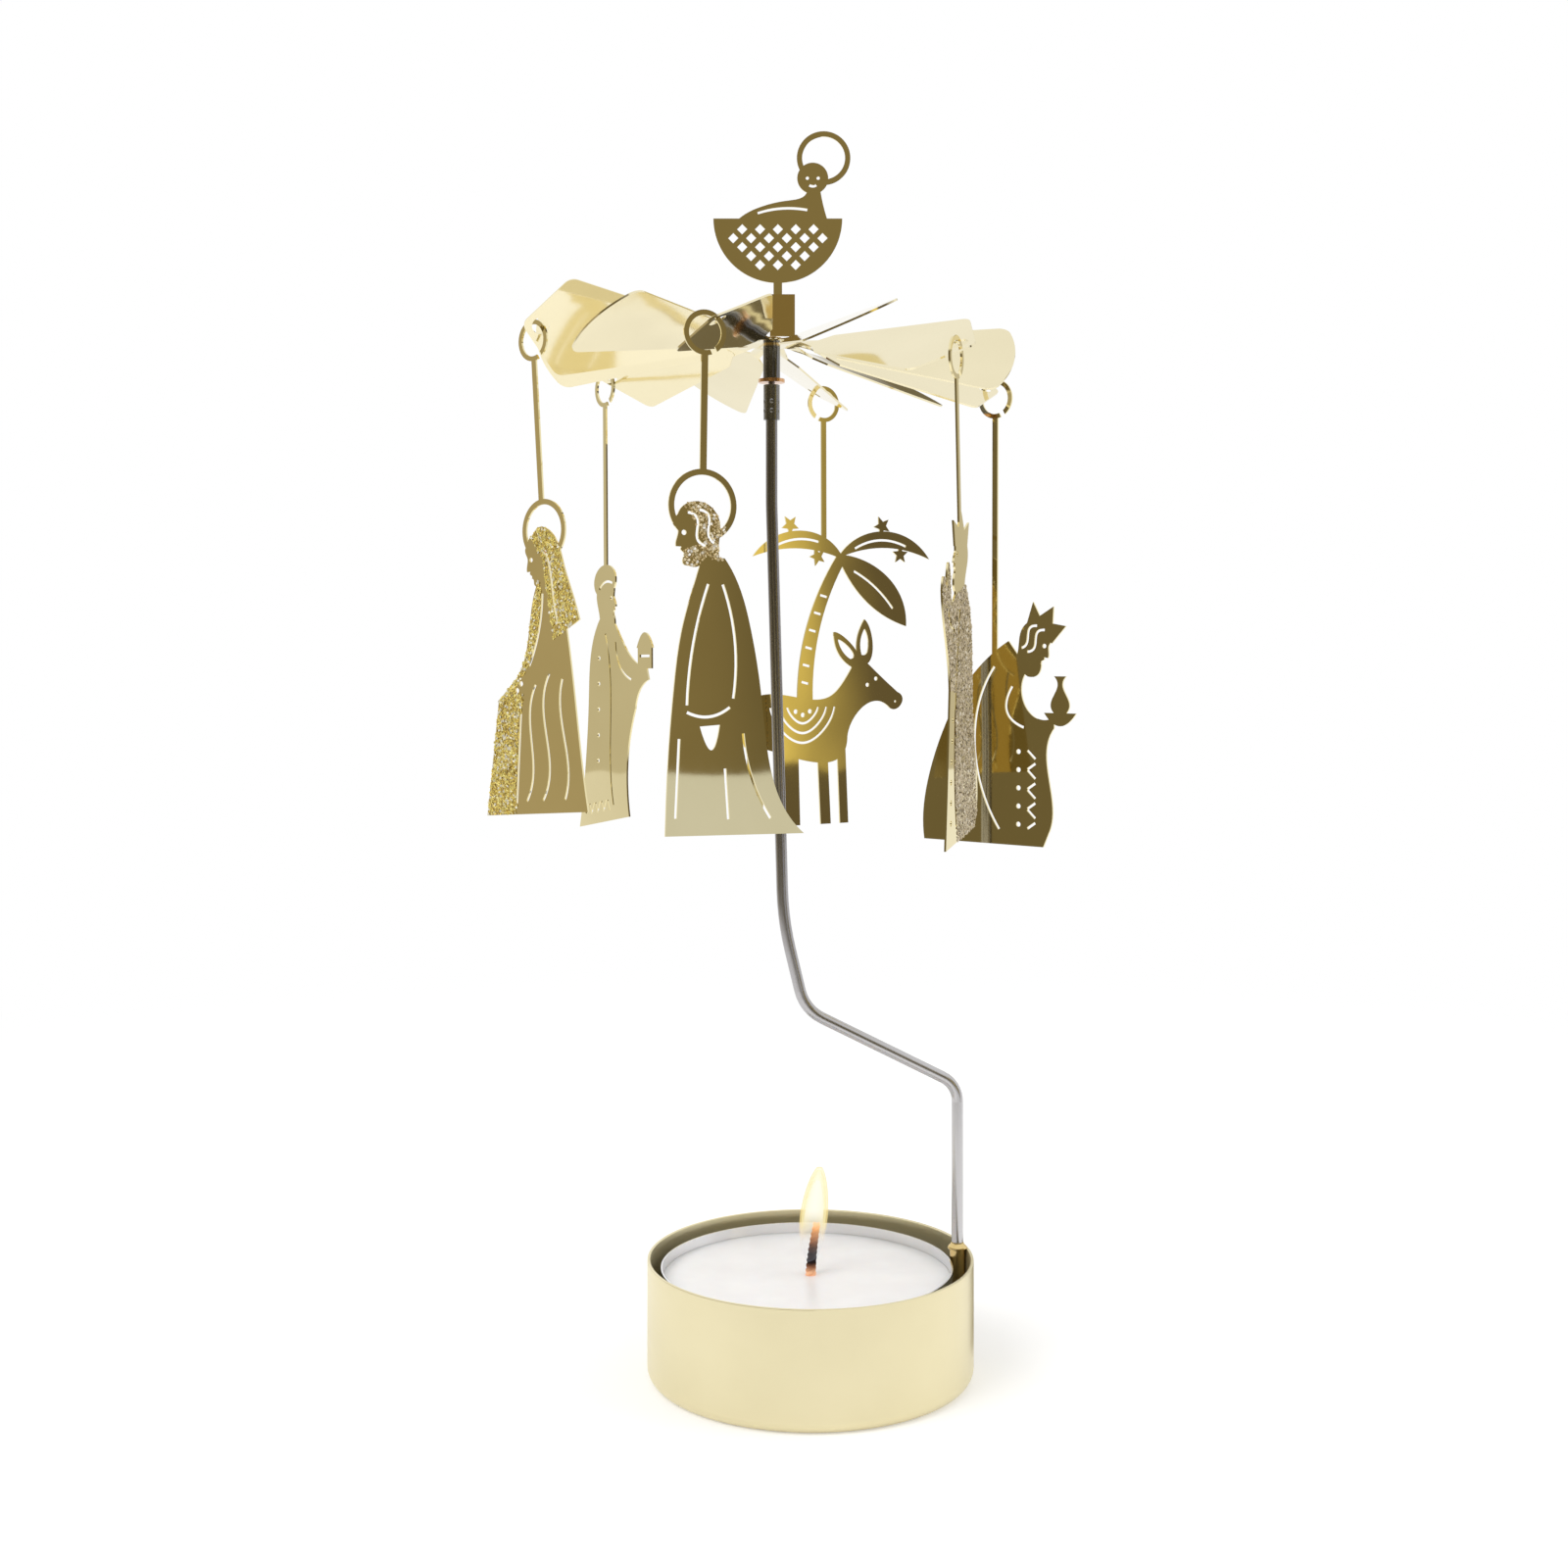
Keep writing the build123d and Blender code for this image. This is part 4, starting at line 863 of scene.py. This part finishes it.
# %% Glitter links
for start, end in (
    (given["Patch"], spread.inputs["Mesh"]),
    (given["Spacing"], spread.inputs["Distance Min"]),
    (given["Seed"], spread.inputs["Seed"]),
    (given["Figure"], sheet.inputs["Object"]),
    (spread.outputs["Normal"], inward.inputs["Vector"]),
    (sheet.outputs["Geometry"], look.inputs["Target Geometry"]),
    (inward.outputs["Vector"], look.inputs["Ray Direction"]),
    (look.outputs["Is Hit"], missed.inputs[0]),
    (spread.outputs["Points"], keep.inputs["Geometry"]),
    (missed.outputs[0], keep.inputs["Selection"]),
    (spread.outputs["Normal"], stand_off.inputs["Vector"]),
    (given["Lift"], stand_off.inputs["Scale"]),
    (look.outputs["Hit Position"], landing.inputs[0]),
    (stand_off.outputs["Vector"], landing.inputs[1]),
    (keep.outputs["Geometry"], land.inputs["Geometry"]),
    (landing.outputs["Vector"], land.inputs["Position"]),
    (given["Flake"], hexagon.inputs["Radius"]),
    (given["Tilt"], tilt_low.inputs[0]),
    (tilt_low.outputs[0], least.inputs["X"]),
    (tilt_low.outputs[0], least.inputs["Y"]),
    (given["Tilt"], most.inputs["X"]),
    (given["Tilt"], most.inputs["Y"]),
    (least.outputs[0], tilts.inputs["Min"]),
    (most.outputs[0], tilts.inputs["Max"]),
    (given["Seed"], tilts.inputs["Seed"]),
    (tilts.outputs["Value"], turns.inputs[0]),
    (spread.outputs["Rotation"], tilted.inputs["Rotation"]),
    (turns.outputs[0], tilted.inputs["Rotate By"]),
    (land.outputs["Geometry"], strew.inputs["Points"]),
    (hexagon.outputs["Mesh"], strew.inputs["Instance"]),
    (tilted.outputs[0], strew.inputs["Rotation"]),
    (flake_scales.outputs[1], strew.inputs["Scale"]),
    (strew.outputs["Instances"], fleck.inputs["Geometry"]),
    (shades.outputs[1], fleck.inputs["Value"]),
    (fleck.outputs["Geometry"], realized.inputs["Geometry"]),
    (realized.outputs["Geometry"], painted.inputs["Geometry"]),
    (given["Finish"], painted.inputs["Material"]),
    (painted.outputs["Geometry"], result.inputs["Flakes"]),
):
    join(glitter, start, end)
print("glitter tree:", len(glitter.nodes), "nodes,", len(glitter.links), "links")

# %% [markdown]
# The patches are drawn like the figures themselves, standing on the hem, in millimetres. A figure hangs
# with its weight under its hook, so each row also says where its drawing starts from the hook and how many
# degrees it leans, and then gives the flakes' shades, their share of metal and their tilt in degrees. The
# patches may overhang the sheet, because flakes only stay on metal.

# %% Glitter patches
flake_size = 0.17 * mm
flake_spacing = 0.2 * mm
flake_lift = 0.04 * mm
veil = [
    (-1.1, 34.4), (1.1, 35.8), (3.7, 34.0), (5.0, 30.3),
    (6.2, 26.9), (7.3, 23.3), (2.2, 21.4), (1.0, 31.2),
]
sleeve = [(-6.1, 15.1), (-6.4, 16.3), (-3.0, 20.7), (-0.1, 29.0), (0.5, 27.2), (-0.5, 22.6), (-2.6, 18.4)]
apron = [(-12.0, 0.05), (-9.9, 9.0), (-8.7, 14.5), (-6.2, 16.3), (-3.9, 14.8), (-4.4, 12.6), (-6.3, 0.05)]
locks = [(-3.0, 37.6), (0.0, 38.4), (2.2, 36.2), (2.2, 31.4), (0.4, 31.4), (-1.1, 34.9)]
chin = [(-3.6, 32.2), (-3.0, 30.6), (-1.6, 30.4), (-0.2, 31.4), (0.7, 33.7), (-1.1, 33.0)]
cloak = [
    (-4.8, 18.6), (-6.5, 26.4), (-7.0, 30.5), (-6.1, 32.2), (-4.7, 30.0),
    (-4.3, 33.8), (-3.0, 29.0), (2.1, 30.9), (3.9, 26.6), (4.0, 15.0),
    (4.6, 3.0), (3.5, 1.2), (-3.4, 0.4), (-3.8, 9.0), (-2.7, 18.0),
]
gold_flakes = [
    (0.0, (0.66, 0.46, 0.09)),
    (0.2, (1.0, 0.76, 0.16)),
    (0.8, (1.0, 0.88, 0.3)),
    (0.94, (1.0, 0.97, 0.82)),
]
sand_flakes = [
    (0.0, (0.4, 0.28, 0.12)),
    (0.4, (0.66, 0.5, 0.24)),
    (0.85, (0.85, 0.72, 0.45)),
    (0.95, (1.0, 0.96, 0.88)),
]
earth_flakes = [
    (0.0, (0.34, 0.26, 0.14)),
    (0.5, (0.48, 0.38, 0.22)),
    (0.9, (0.58, 0.47, 0.29)),
    (0.98, (0.82, 0.74, 0.58)),
]
glitter_places = {
    "veil_glitter": {
        "body": "veiled_woman",
        "start": (-2.7, -60.4),
        "lean": 4.4,
        "outlines": [veil, sleeve, apron],
        "stops": gold_flakes,
        "shine": 0.5,
        "tilt": 24,
    },
    "beard_glitter": {
        "body": "robed_man",
        "start": (-0.9, -58.8),
        "lean": -0.9,
        "outlines": [locks, chin],
        "stops": sand_flakes,
        "shine": 0.5,
        "tilt": 24,
    },
    "cloak_glitter": {
        "body": "raised_arms_king",
        "start": (-1.9, -59.3),
        "lean": 3.8,
        "outlines": [cloak],
        "stops": earth_flakes,
        "shine": 0.15,
        "tilt": 9,
    },
}
print("glitter on", len(glitter_places), "figures")

# %% Glitter finish and patches
flake_gloss = 0.3


def flake_finish(name, stops, shine):
    """Small flakes, each with its own shade; the shine says how much metal they show."""
    material, tree, output = new_material(name)
    shade = add_node(tree, "ShaderNodeAttribute", attribute_name="fleck")
    shader = add_node(tree, "ShaderNodeBsdfPrincipled", {"Metallic": shine, "Roughness": flake_gloss})
    join(tree, color_ramp(tree, shade.outputs["Fac"], stops), shader.inputs["Base Color"])
    join(tree, shader.outputs[0], output.inputs["Surface"])
    return material


def patch_mesh(name, body, start, lean, outlines):
    """Flat patches in front of a hanging figure, facing out."""
    joint = joints[body + "_swing"]
    hook = Vector(joint["pos_m"])
    facing = Vector(joint["axis"])
    along = Vector((-facing.y, facing.x, 0))
    level = math.cos(math.radians(lean))
    rise = math.sin(math.radians(lean))
    build = bmesh.new()
    for outline in outlines:
        corners = []
        for x, y in outline:
            across = (x + start[0]) * mm
            up = (y + start[1]) * mm
            spot = hook + along * (across * level - up * rise) + facing * patch_gap
            spot.z += across * rise + up * level
            corners.append(build.verts.new(spot))
        face = build.faces.new(corners)
        face.normal_update()
        if face.normal.dot(facing) < 0:
            face.normal_flip()
    bmesh.ops.triangulate(build, faces=build.faces[:])
    mesh = bpy.data.meshes.new(name)
    build.to_mesh(mesh)
    build.free()
    return mesh


print("flake finish and patches ready")

# %% Glitter
for seed, (name, row) in enumerate(glitter_places.items()):
    body = row["body"]
    finish = flake_finish(name, row["stops"], row["shine"])
    patch = patch_mesh(name, body, row["start"], row["lean"], row["outlines"])
    patch.materials.append(finish)
    flakes = bpy.data.objects.new(name, patch)
    bpy.context.scene.collection.objects.link(flakes)
    modifier = flakes.modifiers.new("glitter", "NODES")
    modifier.node_group = glitter
    values = {
        "Figure": nodes[body + "_figure"],
        "Spacing": flake_spacing,
        "Flake": flake_size,
        "Tilt": math.radians(row["tilt"]),
        "Lift": flake_lift,
        "Seed": seed,
        "Finish": finish,
    }
    for key, value in values.items():
        modifier[glitter_inputs[key].identifier] = value
    view_layer.update()
    depsgraph = bpy.context.evaluated_depsgraph_get()
    ready = flakes.evaluated_get(depsgraph)
    flake_mesh = bpy.data.meshes.new_from_object(ready, preserve_all_data_layers=True, depsgraph=depsgraph)
    flakes.modifiers.remove(modifier)
    flakes.data = flake_mesh
    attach(flakes, body)
    print(name, "has", len(flake_mesh.polygons), "flakes")

# %% [markdown]
# ## Finishes on the frame
# Each node of the frame now takes the finish of its slot, and the tube under the hub takes its own.

# %% Finishes on the frame
for row in frame["record"]["subparts"]:
    mesh = nodes[row["node"]].data
    mesh.materials.clear()
    mesh.materials.append(finishes[row["material_slot"]])
nodes["bearing_tube"].data.materials[0] = tube_finish
